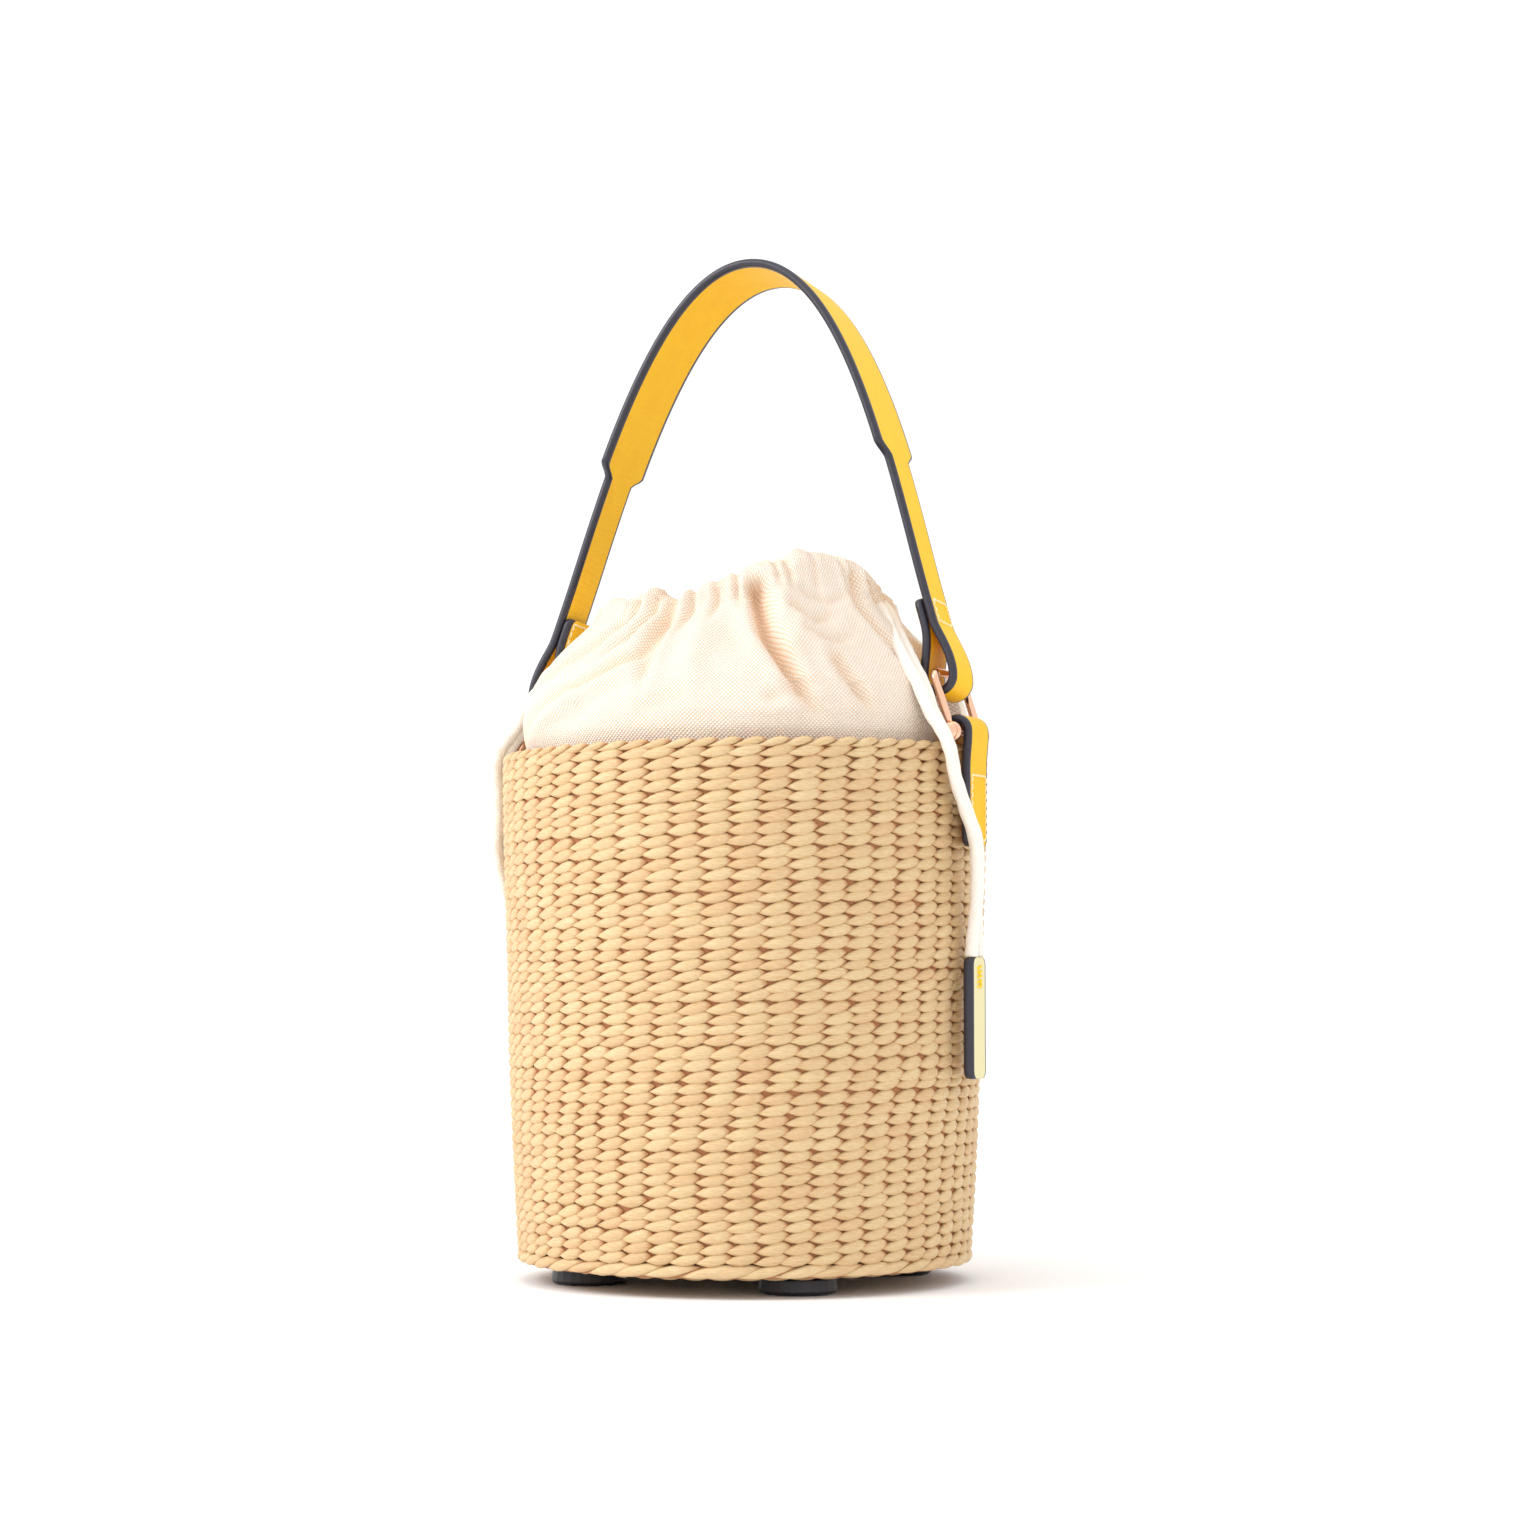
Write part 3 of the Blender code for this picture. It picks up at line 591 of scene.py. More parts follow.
# Painted shade: the weave's low spots are tinted peach.
lit = ramp(tree, over.outputs[0], (0, "#EFCFAE"), (0.45, "#FFFFFF"))
weave_shaded = add(tree, "Mix", {"data_type": "RGBA", "blend_type": "MULTIPLY", 0: 0.95},
           _6=ecru, _7=lit)
# Painted shade: creases are tinted peach by their depth, and the lining a little, more where it hangs free.
fold_depth = add(tree, "Attribute", {"attribute_name": "fold"})
crease_shade = ramp(tree, fold_depth.outputs["Fac"], (0, "#FFFFFF"), (1, "#F8DCC0"))
creased = add(tree, "Mix", {"data_type": "RGBA", "blend_type": "MULTIPLY", 0: 0.8},
              _6=weave_shaded.outputs[2], _7=crease_shade)
tree.links.new(creased.outputs[2], shader.inputs["Base Color"])
woven = add(tree, "Bump", {"Strength": 0.75, "Distance": 0.0005}, Height=over.outputs[0])
lumpy = add(tree, "Bump", {"Strength": 0.3, "Distance": 0.0003}, Height=slub.outputs["Fac"],
            Normal=woven.outputs["Normal"])
tree.links.new(lumpy.outputs["Normal"], shader.inputs["Normal"])
shader.inputs["Roughness"].default_value = 0.92
shader.inputs["Sheen Weight"].default_value = 0.1
shader.inputs["Specular IOR Level"].default_value = 0.2


def cloth_piece(name, outline, steps, push):
    """Cloth turned from an outline of (radius, height, run), pushed outwards and tinted with painted shade by
    push(turn, height).
    """
    verts, cloth_at, folds = [], [], []
    for k in range(steps):
        turn = 360 * k / steps
        for radius, z, run in outline:
            amount, fold = push(turn, z)
            verts.append(around(radius + amount, turn, z))
            cloth_at.append((math.radians(turn) * 80, run * 1000, 0))
            folds.append(fold)
    faces = revolved([(radius, z) for radius, z, _ in outline], steps)[1]
    piece = new_piece(name, verts, faces, canvas)
    note(piece, "cloth", cloth_at, "FLOAT_VECTOR")
    note(piece, "fold", folds)
    return piece


def dense(points, spacing):
    """More points along straight runs between the given ones, with the outward direction and run."""
    corners = [Vector(p) for p in points]
    made, total = [], 0.0
    for a, b in zip(corners, corners[1:]):
        count = max(1, round((b - a).length / spacing))
        for i in range(count):
            p = a.lerp(b, i / count)
            made.append((p, total + (b - a).length * i / count))
        total += (b - a).length
    made.append((corners[-1], total))
    result = []
    for i, (p, run) in enumerate(made):
        ahead = made[min(i + 1, len(made) - 1)][0]
        behind = made[max(i - 1, 0)][0]
        along = (ahead - behind).normalized()
        result.append((p.x, p.y, along.y, -along.x, run))
    return result


lining_out = [(0.0003, 0.0125), (0.0700, 0.0125), (0.0735, 0.0135), (0.0762, 0.0152), (0.0775, 0.0185),
              (0.0787, 0.080), (0.0797, 0.140), (0.0801, 0.1865)]
lining_rows = [(r, z, run) for r, z, _, _, run in dense(lining_out, 0.006)]
lining_rows += [(max(r - CANVAS, 0.0003), z + (CANVAS if z < 0.017 else 0), run)
                for r, z, run in reversed(lining_rows)]


def lining_push(turn, z):
    """Slack in the lining: shallow upright waves, none where it is glued under the rim, and how strongly it
    is tinted with painted shade.
    """
    free = min(1, max(0, (0.180 - z) / 0.03)) * min(1, max(0, (z - 0.018) / 0.02))
    wave = math.sin(math.radians(turn) * 7 + z * 40) + 0.6 * math.sin(math.radians(turn) * 13 - z * 60 + 1)
    return -abs(wave) * 0.0010 * free, 0.1 + 0.1 * free


lining = cloth_piece("pouch_lining_cloth", lining_rows, 120, lining_push)
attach(lining, "basket")
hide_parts("pouch_lining")

# Gathered top: the cloth that stands above the rim, drawn in by the cords in its hem and folded over
# at the top. Folds fan out from the gathers; the front has one deep crease and a bulge beside it.
VIEW = -63.4             # direction of the front of the folds, in degrees from +X
TOP_HEIGHT = [(-180, 0.2500), (-150, 0.2535), (-125, 0.2495), (-105, 0.2520), (-80, 0.2455), (-60, 0.2470),
              (-38, 0.2500), (-32, 0.2462), (-23, 0.2475), (-11, 0.2520), (0, 0.2530), (5, 0.2560),
              (16, 0.2585), (21, 0.2628), (34, 0.2620), (47, 0.2590), (60, 0.2550), (75, 0.2505),
              (90, 0.2490), (110, 0.2525), (135, 0.2570), (160, 0.2520), (180, 0.2500)]
# Each fold: depth and half width in mm, then places (degrees from the front, height in mm).
FOLDS = [(-6.0, 3.0, [(4, 247), (5, 240), (6, 231), (10, 221), (14, 210), (18, 201)]),
         (-3.2, 2.6, [(-30, 250), (-29, 241), (-32, 224), (-45, 217), (-60, 210), (-77, 198)]),
         (-3.0, 2.2, [(-36, 252), (-36, 240), (-41, 232), (-49, 226)]),
         (-2.4, 2.4, [(-27, 236), (-28.5, 224), (-27.5, 211)]),
         (-2.2, 2.4, [(-46, 244), (-53, 231), (-66, 219), (-80, 211)]),
         (-1.8, 1.6, [(-21, 250), (-20, 240), (-23, 230)]),
         (-2.0, 1.6, [(-12, 255), (-10, 244), (-12, 236)]),
         (-1.6, 1.4, [(-4, 256), (-3, 246), (-1, 238)]),
         (-1.5, 1.8, [(15, 239), (22, 236), (31, 239)]),
         (-1.2, 1.6, [(18, 231), (27, 229), (36, 232)]),
         (-1.1, 1.6, [(20, 246), (30, 243), (40, 247)]),
         (-2.4, 2.2, [(44, 254), (42, 242), (48, 230), (52, 218)]),
         (-2.6, 2.0, [(53, 252), (56, 240), (60, 226)]),
         (-2.4, 2.6, [(26, 222), (30, 212), (34, 203)]),
         (2.4, 5.0, [(14, 246), (15, 236), (20, 226), (26, 218)]),
         (1.8, 5.0, [(-14, 232), (-15, 220), (-12, 208)]),
         (2.0, 4.5, [(-36, 221), (-50, 213), (-66, 203)]),
         (1.6, 4.0, [(-52, 234), (-62, 224), (-76, 214)])]
pleats = random.Random(7)
for spot in range(70, 300, 13):
    at = spot + pleats.uniform(-4, 4)
    lean = pleats.uniform(-9, 9)
    low = pleats.uniform(206, 232)
    FOLDS.append((-pleats.uniform(1.8, 3.6), pleats.uniform(1.6, 2.8),
                  [(at, 254), (at + lean * 0.3, (254 + low) / 2), (at + lean, low)]))
for spot in range(-180, 180, 9):
    at = spot + pleats.uniform(-3, 3)
    FOLDS.append((-pleats.uniform(0.7, 1.5), pleats.uniform(0.9, 1.5),
                  [(at, 262), (at + pleats.uniform(-2, 2), pleats.uniform(236, 246))]))
for spot in range(36):
    at = pleats.uniform(-180, 180)
    low = pleats.uniform(196, 232)
    FOLDS.append((pleats.choice((-0.9, -0.7, 0.8)), pleats.uniform(2.0, 4.0),
                  [(at, low), (at + pleats.uniform(-16, 16), low + pleats.uniform(4, 16))]))


def fold_field(turns, heights, radii):
    """Outward push in metres and crease depth from 0 to 1, which sets the painted crease shade, at grids of
    turn, height and radius.
    """
    push = np.zeros(turns.shape)
    crease = np.zeros(turns.shape)
    for depth, wide, places in FOLDS:
        best = np.full(turns.shape, 1e9)
        fade = np.ones(turns.shape)
        legs = len(places) - 1
        for leg, ((a0, z0), (a1, z1)) in enumerate(zip(places, places[1:])):
            mid = (a0 + a1) / 2
            off = (turns - mid + 180) % 360 - 180
            scale = radii * 1000 * math.pi / 180
            x, y = off * scale, heights * 1000 - (z0 + z1) / 2
            dx, dy = (a1 - a0) * scale, z1 - z0
            part = np.clip((x * dx + y * dy) / (dx * dx + dy * dy + 1e-9), -0.5, 0.5)
            gone = np.hypot(x - part * dx, y - part * dy)
            reached = (leg + part + 0.5) / legs
            fade = np.where(gone < best, 1 - 0.85 * np.clip((reached - 0.55) / 0.45, 0, 1) ** 1.5, fade)
            best = np.minimum(best, gone)
        valley = np.exp(-(best / wide) ** 2) * fade
        shoulder = np.exp(-((best - 2.0 * wide) / (1.1 * wide)) ** 2) * fade
        push += depth / 1000 * (valley - 0.32 * shoulder)
        if depth < 0:
            crease = np.maximum(crease, valley * min(1, -depth / 5))
    return push, crease


TURNS = 480
TOP_CLOTH = 0.0013       # thickness of the cloth above the rim
outside = [(0.0801, 0.1868), (0.0806, 0.1920), (0.0816, 0.1970), (0.0818, 0.2030), (0.0808, 0.2085),
           (0.0788, 0.2145), (0.0746, 0.2205), (0.0700, 0.2265), (0.0648, 0.2325), (0.0600, 0.2375),
           (0.0566, 0.2415), (0.0552, 0.2450), (0.0545, 0.2478), (0.0520, 0.2500)]
rows = dense(outside, 0.0011)
top_from = len(rows)
over_top = [(0.0520, 0.2500), (0.0495, 0.2508), (0.0465, 0.2503), (0.0440, 0.2480), (0.0428, 0.2440),
            (0.0430, 0.2400), (0.0452, 0.2372)]
rows += [(r, z, nr, nz, run + rows[-1][4]) for r, z, nr, nz, run in dense(over_top, 0.0011)[1:]]
turn_grid = np.repeat((360 * np.arange(TURNS) / TURNS)[:, None], len(rows), 1)
radius_grid = np.repeat(np.array([r[0] for r in rows])[None], TURNS, 0)
height_grid = np.repeat(np.array([r[1] for r in rows])[None], TURNS, 0)
normal_r = np.array([r[2] for r in rows])[None]
normal_z = np.array([r[3] for r in rows])[None]
facing = (turn_grid - VIEW + 180) % 360 - 180
angles, tops = zip(*TOP_HEIGHT)
top_here = np.interp(facing[:, 0], angles, tops)[:, None]
climb = np.clip((height_grid - 0.222) / 0.028, 0, 1) ** 1.3
stretched_z = height_grid + (top_here - 0.2505) * climb
push, crease = fold_field(facing, stretched_z, np.maximum(radius_grid, 0.052))
free = np.clip((height_grid - 0.190) / 0.012, 0, 1)
inside_hem = np.clip((np.arange(len(rows)) - top_from + 4) / 8, 0, 1)[None]
push = push * free * (1 - 0.45 * inside_hem)
sag = 0.0016 * np.sin(np.radians(turn_grid) * 5 + 1) + 0.0012 * np.sin(np.radians(turn_grid) * 9 + 4)
swollen = np.exp(-((facing - 30) / 26) ** 2) * np.exp(-((height_grid - 0.240) / 0.014) ** 2) * 0.0022
amount = push + (sag * 0.5 + swollen) * free
radius_out = radius_grid + normal_r * amount
height_out = stretched_z + normal_z * amount
flank = np.abs(np.sin(np.radians(turn_grid))) * radius_out
limit = np.where(height_out > 0.204, 0.0726, 0.0797)
loop_room = np.clip((0.016 - flank) / 0.006, 0, 1)
radius_out = np.where(radius_out > limit, radius_out + (limit - radius_out) * loop_room, radius_out)
inner = list(range(top_from - 6))
radius_in = radius_out[:, inner] - TOP_CLOTH * np.maximum(normal_r[:, inner], 0.35)
height_in = height_out[:, inner] - TOP_CLOTH * normal_z[:, inner]
ring_r = np.concatenate([radius_out, radius_in[:, ::-1]], 1)
ring_z = np.concatenate([height_out, height_in[:, ::-1]], 1)
ring_fold = np.concatenate([crease, crease[:, inner][:, ::-1]], 1)
run_all = np.array([r[4] for r in rows] + [rows[i][4] for i in reversed(inner)])
size = ring_r.shape[1]
t = np.radians(360 * np.arange(TURNS) / TURNS)[:, None]
points = np.stack([ring_r * np.cos(t), ring_r * np.sin(t), ring_z], -1).reshape(-1, 3)
here = np.arange(TURNS)[:, None] * size + np.arange(size)[None]
ahead = np.roll(here, -1, 0)
faces = np.stack([here, ahead, np.roll(ahead, -1, 1), np.roll(here, -1, 1)], -1).reshape(-1, 4)
gathers = new_piece("pouch_gathered_top", points.tolist(), faces.tolist(), canvas)
note(gathers, "cloth", np.stack([np.broadcast_to(t * 80, ring_r.shape),
                                 np.broadcast_to(run_all[None] * 1000, ring_r.shape),
                                 np.zeros(ring_r.shape)], -1), "FLOAT_VECTOR")
note(gathers, "fold", ring_fold)
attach(gathers, "basket")
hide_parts("pouch_collar", "pouch_casing")

# The same cords' loops, one for each side, below the top edge of the hem all the way round.
for side, under in (("left", 0.0052), ("right", 0.0098)):
    ring_points = []
    for k in range(120):
        turn = 3 * k
        top = np.interp((turn - VIEW + 180) % 360 - 180, angles, tops)
        ring_points.append(around(0.0486, turn, float(top) - under))
    verts, faces = tube(ring_points, lambda i, t: CORD / 2 - 0.0004, 12)
    loop = new_piece(f"drawcord_loop_{side}_braid", verts, faces, cotton_braid)
    note(loop, "plait", [(k % 12 * 1.2, k // 12 * 2.5, 0) for k in range(len(verts))], "FLOAT_VECTOR")
    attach(loop, "basket")
    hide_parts("drawcord_loop_" + side)

# Leather straps: two layers of yellow cowhide glued back to back, 3.1 mm thick, with rounded edges
# under several coats of dark edge paint. The handle's ends loop round the shackles and are sewn back.
STRAP = 0.0031
GAP = 0.0003
HANDLE_WIDE = 0.0305
HANDLE_NARROW = 0.0180
SHOULDER_Z = 0.3020
PIVOT_Z = 0.2190
HANDLE_LEAN = math.radians(5.5)
LOOP_X = 0.0814
LOOP_Z = 0.2170
LOOP_RADIUS = 0.0057

# Cowhide: dyed through and finished with a thin gloss coat, pebbled at 0.9 mm, with cross creases
# on the strap's inner side, which is painted a little deeper yellow than the outer one as shade.
cowhide, shader, tree = material("cowhide_yellow_semi_gloss")
hide = add(tree, "Attribute", {"attribute_name": "hide"})
inner_side = add(tree, "Attribute", {"attribute_name": "inner_side"})
pebble = add(tree, "TexVoronoi", {"feature": "SMOOTH_F1", "Scale": 1.15, "Smoothness": 0.6,
                                  "Randomness": 0.9}, Vector=hide.outputs["Vector"])
cloud = add(tree, "TexNoise", {"Scale": 0.16, "Detail": 3.0}, Vector=hide.outputs["Vector"])
squeezed = add(tree, "VectorMath", {"operation": "MULTIPLY", 1: (1.0, 0.16, 1.0)}, _0=hide.outputs["Vector"])
wrinkle = add(tree, "TexNoise", {"Scale": 0.75, "Detail": 3.0, "Distortion": 0.4}, Vector=squeezed.outputs[0])
bent = add(tree, "Math", {"operation": "MULTIPLY"}, _0=wrinkle.outputs["Fac"], _1=inner_side.outputs["Fac"])
grain_side = ramp(tree, cloud.outputs["Fac"], (0, "#F5BA00"), (1, "#FCC804"))
# Painted shade: the inner side, which faces away from the light, is a deeper yellow.
inner_side_shade = ramp(tree, cloud.outputs["Fac"], (0, "#F0B400"), (1, "#F8C40A"))
sided = add(tree, "Mix", {"data_type": "RGBA"}, _0=inner_side.outputs["Fac"], _6=grain_side, _7=inner_side_shade)
tree.links.new(sided.outputs[2], shader.inputs["Base Color"])
pebbled = add(tree, "Bump", {"Strength": 0.16, "Distance": 0.0002}, Height=pebble.outputs["Distance"])
wrinkled = add(tree, "Bump", {"Strength": 0.55, "Distance": 0.0006}, Height=bent.outputs[0],
               Normal=pebbled.outputs["Normal"])
tree.links.new(wrinkled.outputs["Normal"], shader.inputs["Normal"])
shader.inputs["Roughness"].default_value = 0.48
shader.inputs["Specular IOR Level"].default_value = 0.18
shader.inputs["Coat Weight"].default_value = 0.03
shader.inputs["Coat Roughness"].default_value = 0.3

# Edge paint: thick blue-black acrylic in a smooth glossy bead, with soft brush ripples 2 mm long.
edge_paint, shader, tree = material("edge_paint_blue_black")
edge_at = add(tree, "Attribute", {"attribute_name": "hide"})
ripple = add(tree, "TexNoise", {"Scale": 0.5, "Detail": 2.0}, Vector=edge_at.outputs["Vector"])
inked = ramp(tree, ripple.outputs["Fac"], (0, "#24222C"), (1, "#35333F"))
tree.links.new(inked, shader.inputs["Base Color"])
brushed = add(tree, "Bump", {"Strength": 0.2, "Distance": 0.0003}, Height=ripple.outputs["Fac"])
tree.links.new(brushed.outputs["Normal"], shader.inputs["Normal"])
shader.inputs["Roughness"].default_value = 0.34
shader.inputs["IOR"].default_value = 1.49

FLAT = (-1.0, -0.93, -0.6, -0.2, 0.2, 0.6, 0.93, 1.0)
EDGE_TURNS = (60, 30, 0, -30, -60)


def turn_faces_outwards(piece):
    """Make every face of a closed piece look outwards."""
    bm = bmesh.new()
    bm.from_mesh(piece.data)
    bmesh.ops.recalc_face_normals(bm, faces=bm.faces)
    bm.to_mesh(piece.data)
    bm.free()


def ribbon(name, path, width, thick, place, round_ends=0.003, skin=cowhide):
    """A leather strap along a path in its own plane: flat faces, and rounded edges in edge paint."""
    sampled = [path[0]]
    for a, b in zip(path, path[1:]):
        count = max(1, round((b - a).length / 0.0016))
        sampled += [a.lerp(b, i / count) for i in range(1, count + 1)]
    for _ in range(3):
        sampled = [sampled[0]] + [(a + b * 2 + c) / 4 for a, b, c in zip(sampled, sampled[1:], sampled[2:])] \
            + [sampled[-1]]
    runs = [0.0]
    for a, b in zip(sampled, sampled[1:]):
        runs.append(runs[-1] + (b - a).length)
    total = runs[-1]
    if round_ends:
        extra = [round_ends * f for f in (0.04, 0.15, 0.32, 0.6)]
        between = [r for r in runs[1:-1] if round_ends < r < total - round_ends]
        wanted = [0.0] + extra + between + [total - e for e in reversed(extra)] + [total]
        xs = np.interp(wanted, runs, [p.x for p in sampled])
        ys = np.interp(wanted, runs, [p.y for p in sampled])
        sampled = [Vector((x, y)) for x, y in zip(xs, ys)]
        runs = wanted
    verts, hide_at, inner_at = [], [], []
    bead = thick * 0.46
    ring_size = 2 * len(FLAT) + 2 * len(EDGE_TURNS)
    last = len(sampled) - 1
    for i, p in enumerate(sampled):
        along = (sampled[min(i + 1, last)] - sampled[max(i - 1, 0)]).normalized()
        out = Vector((-along.y, along.x))
        half = width(p) / 2
        from_end = min(runs[i], total - runs[i])
        if round_ends and from_end < round_ends:
            half -= round_ends - math.sqrt(round_ends ** 2 - (round_ends - from_end) ** 2)
        squash = 0.75 if from_end < 1e-9 else 1.0
        inner_half = half - bead
        half_thick = thick / 2 * squash
        edge = [(inner_half + bead * math.cos(t) * 1.04, half_thick * math.sin(t))
                for t in map(math.radians, EDGE_TURNS)]
        ring = [(f * inner_half, half_thick) for f in FLAT] + edge
        ring += [(f * inner_half, -half_thick) for f in reversed(FLAT)]
        ring += [(-across, -proud) for across, proud in edge]
        for across, proud in ring:
            q = p + out * proud
            verts.append(place(q, across))
            hide_at.append((runs[i] * 1000, across * 1000, 40 if proud < 0 else 0))
            inner_at.append(1.0 if proud < 0 else 0.0)
    faces, kinds = [], []
    painted = set(range(len(FLAT) - 1, len(FLAT) + len(EDGE_TURNS)))
    painted |= set(range(2 * len(FLAT) + len(EDGE_TURNS) - 1, ring_size))
    painted |= {0, len(FLAT) - 2, len(FLAT) + len(EDGE_TURNS), 2 * len(FLAT) + len(EDGE_TURNS) - 2}
    for i in range(last):
        for k in range(ring_size):
            m = (k + 1) % ring_size
            here, ahead = i * ring_size, (i + 1) * ring_size
            faces.append((here + k, here + m, ahead + m, ahead + k))
            kinds.append(1 if k in painted or i in (0, last - 1) else 0)
    faces.append(tuple(range(ring_size)))
    faces.append(tuple(last * ring_size + k for k in reversed(range(ring_size))))
    kinds += [1, 1]
    piece = new_piece(name, verts, faces, [skin, edge_paint])
    piece.data.polygons.foreach_set("material_index", kinds)
    turn_faces_outwards(piece)
    note(piece, "hide", hide_at, "FLOAT_VECTOR")
    note(piece, "inner_side", inner_at)
    return piece


def bezier(a, b, c, d, count):
    """Points of a curve in the strap's plane, without its first point."""
    ends = [Vector((*p, 0)) for p in (a, b, c, d)]
    return [p.to_2d() for p in interpolate_bezier(*ends, count + 1)[1:]]


def arc(centre, radius, start, end, count):
    """Points on a circle in the strap's plane, angles in degrees, without the first point."""
    turns = [math.radians(start + (end - start) * i / count) for i in range(1, count + 1)]
    return [Vector((centre[0] + radius * math.cos(t), centre[1] + radius * math.sin(t))) for t in turns]


waist = Vector((0.0742, 0.2502))
seam_low = Vector((0.0786, 0.2368))
seam_run = (seam_low - waist).normalized()
inward = Vector((seam_run.y, -seam_run.x))
leg_apart = STRAP + GAP
arch_top = Vector((0, 0.37705))
half_path = [arch_top]
half_path += bezier(arch_top, (0.0400, arch_top.y), waist - seam_run * 0.0400, waist, 60)
half_path += [seam_low]
half_path += bezier(seam_low, seam_low + seam_run * 0.0025, (LOOP_X + LOOP_RADIUS, LOOP_Z + 0.0075),
                    (LOOP_X + LOOP_RADIUS, LOOP_Z), 12)
half_path += arc((LOOP_X, LOOP_Z), LOOP_RADIUS, 0, -180, 20)
fold_low = seam_low + inward * leg_apart
fold_high = waist + inward * leg_apart + seam_run * 0.0035
half_path += bezier((LOOP_X - LOOP_RADIUS, LOOP_Z), (LOOP_X - LOOP_RADIUS, LOOP_Z + 0.0060),
                    fold_low + seam_run * 0.0060, fold_low, 12)
half_path += [fold_high]
handle_path = [Vector((-p.x, p.y)) for p in reversed(half_path[1:])] + half_path
lean = Matrix.Translation((0, 0, PIVOT_Z)) @ Matrix.Rotation(-HANDLE_LEAN, 4, "X") \
    @ Matrix.Translation((0, 0, -PIVOT_Z))


def on_handle(p, across):
    """A point of the handle's own plane, leaned back as the handle rests."""
    return lean @ Vector((p.x, across, p.y))


def handle_width(point):
    """Wide over the arch, narrow below the rounded shoulders."""
    rise = (point.y - SHOULDER_Z) / 0.005 + 0.5
    step = min(max(rise, 0), 1)
    return HANDLE_NARROW + (HANDLE_WIDE - HANDLE_NARROW) * step * step * (3 - 2 * step)


handle = ribbon("handle_leather", handle_path, handle_width, STRAP, on_handle)
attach(handle, "handle")
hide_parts("handle_strap", "handle_lining")

# Saddle stitching: waxed polyester thread, pale yellow, 0.84 mm thick in stitches of 2.9 mm, each
# pulled down into the leather at both ends.
waxed_thread, shader, tree = material("polyester_thread_waxed")
twist = add(tree, "TexNoise", {"Scale": 2400.0, "Detail": 1.0})
lay = ramp(tree, twist.outputs["Fac"], (0, "#F0D684"), (1, "#FFF6D2"))
tree.links.new(lay, shader.inputs["Base Color"])
shader.inputs["Roughness"].default_value = 0.5
THREAD = 0.00042         # half its thickness
STITCH = 0.0029
SEAM_INSET = 0.0029      # from a strap's edge to the seam


def stitched(name, corners, closed, place, body, pitch=STITCH, finish=waxed_thread):
    """A line of sewn stitches along a route of (path point, across, outward) corners."""
    verts, faces = [], []
    legs = list(zip(corners, corners[1:] + corners[:1])) if closed else list(zip(corners, corners[1:]))
    for (p0, a0, o0), (p1, a1, o1) in legs:
        start = place(p0 + o0, a0)
        end = place(p1 + o1, a1)
        away = (place(p0 + o0 * 1.5, a0) - start).normalized()
        count = max(1, round((end - start).length / pitch))
        for i in range(count):
            a = start.lerp(end, (i + 0.11) / count)
            b = start.lerp(end, (i + 0.89) / count)
            line = []
            for f in (0, 0.12, 0.32, 0.5, 0.68, 0.88, 1):
                line.append(a.lerp(b, f) + away * (THREAD * (1.5 * math.sin(math.pi * f) ** 0.5 - 0.8)))
            ring, skin = tube(line, lambda i, t: THREAD * (0.8 if i in (0, 6) else 1.0), 8)
            skin = [tuple(v + len(verts) for v in f) for f in skin]
            verts += ring
            faces += skin
    piece = new_piece(name, verts, faces, finish)
    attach(piece, body)
    return piece


def rectangle(high, low, reach, outward):
    """The four corners of a seam between a high and a low row of a strap."""
    return [(high, -reach, outward), (high, reach, outward), (low, reach, outward), (low, -reach, outward)]


outward = Vector((-seam_run.y, seam_run.x)) * (STRAP / 2)
for side, mirrored in (("right", 1), ("left", -1)):
    def on_leg(p, across, mirrored=mirrored):
        """The handle's leg on that side."""
        return on_handle(Vector((p.x * mirrored, p.y)), across)

    high_row = waist + seam_run * 0.0052
    low_row = seam_low - seam_run * 0.0004
    reach = HANDLE_NARROW / 2 - SEAM_INSET
    box = rectangle(high_row, low_row, reach, outward)
    stitched(f"handle_stitches_{side}_outer", box, True, on_leg, "handle")
    under = -outward * (1 + 2 * leg_apart / STRAP)
    box = rectangle(high_row, low_row, reach, under)
    stitched(f"handle_stitches_{side}_inner", box, True, on_leg, "handle")

# Tabs: one strap over the rim at each side, its loop holding the shackle's pin, with both legs sewn
# through the wall in a long rectangle of stitches.
TAB_WIDTH = 0.0185
TAB_OUTER_X = 0.09185
TAB_INNER_X = 0.08205
TAB_LOOP_X = 0.0885
TAB_LOOP_Z = 0.1980
TAB_LOOP_RADIUS = 0.0042
TAB_BOTTOM_Z = 0.1565
TAB_SEAM_TOP_Z = 0.1820
TAB_SEAM_LOW_Z = 0.1590
tab_path = [Vector((TAB_OUTER_X, TAB_BOTTOM_Z)), Vector((TAB_OUTER_X, 0.184))]
tab_path += bezier((TAB_OUTER_X, 0.184), (TAB_OUTER_X, 0.190), (TAB_LOOP_X + TAB_LOOP_RADIUS, 0.192),
                   (TAB_LOOP_X + TAB_LOOP_RADIUS, TAB_LOOP_Z), 10)
tab_path += arc((TAB_LOOP_X, TAB_LOOP_Z), TAB_LOOP_RADIUS, 0, 165, 18)
tab_path += bezier(tab_path[-1], tab_path[-1] - Vector((0.0010, 0.0040)), (TAB_INNER_X, 0.194),
                   (TAB_INNER_X, 0.188), 10)
tab_path += [Vector((TAB_INNER_X, TAB_BOTTOM_Z))]
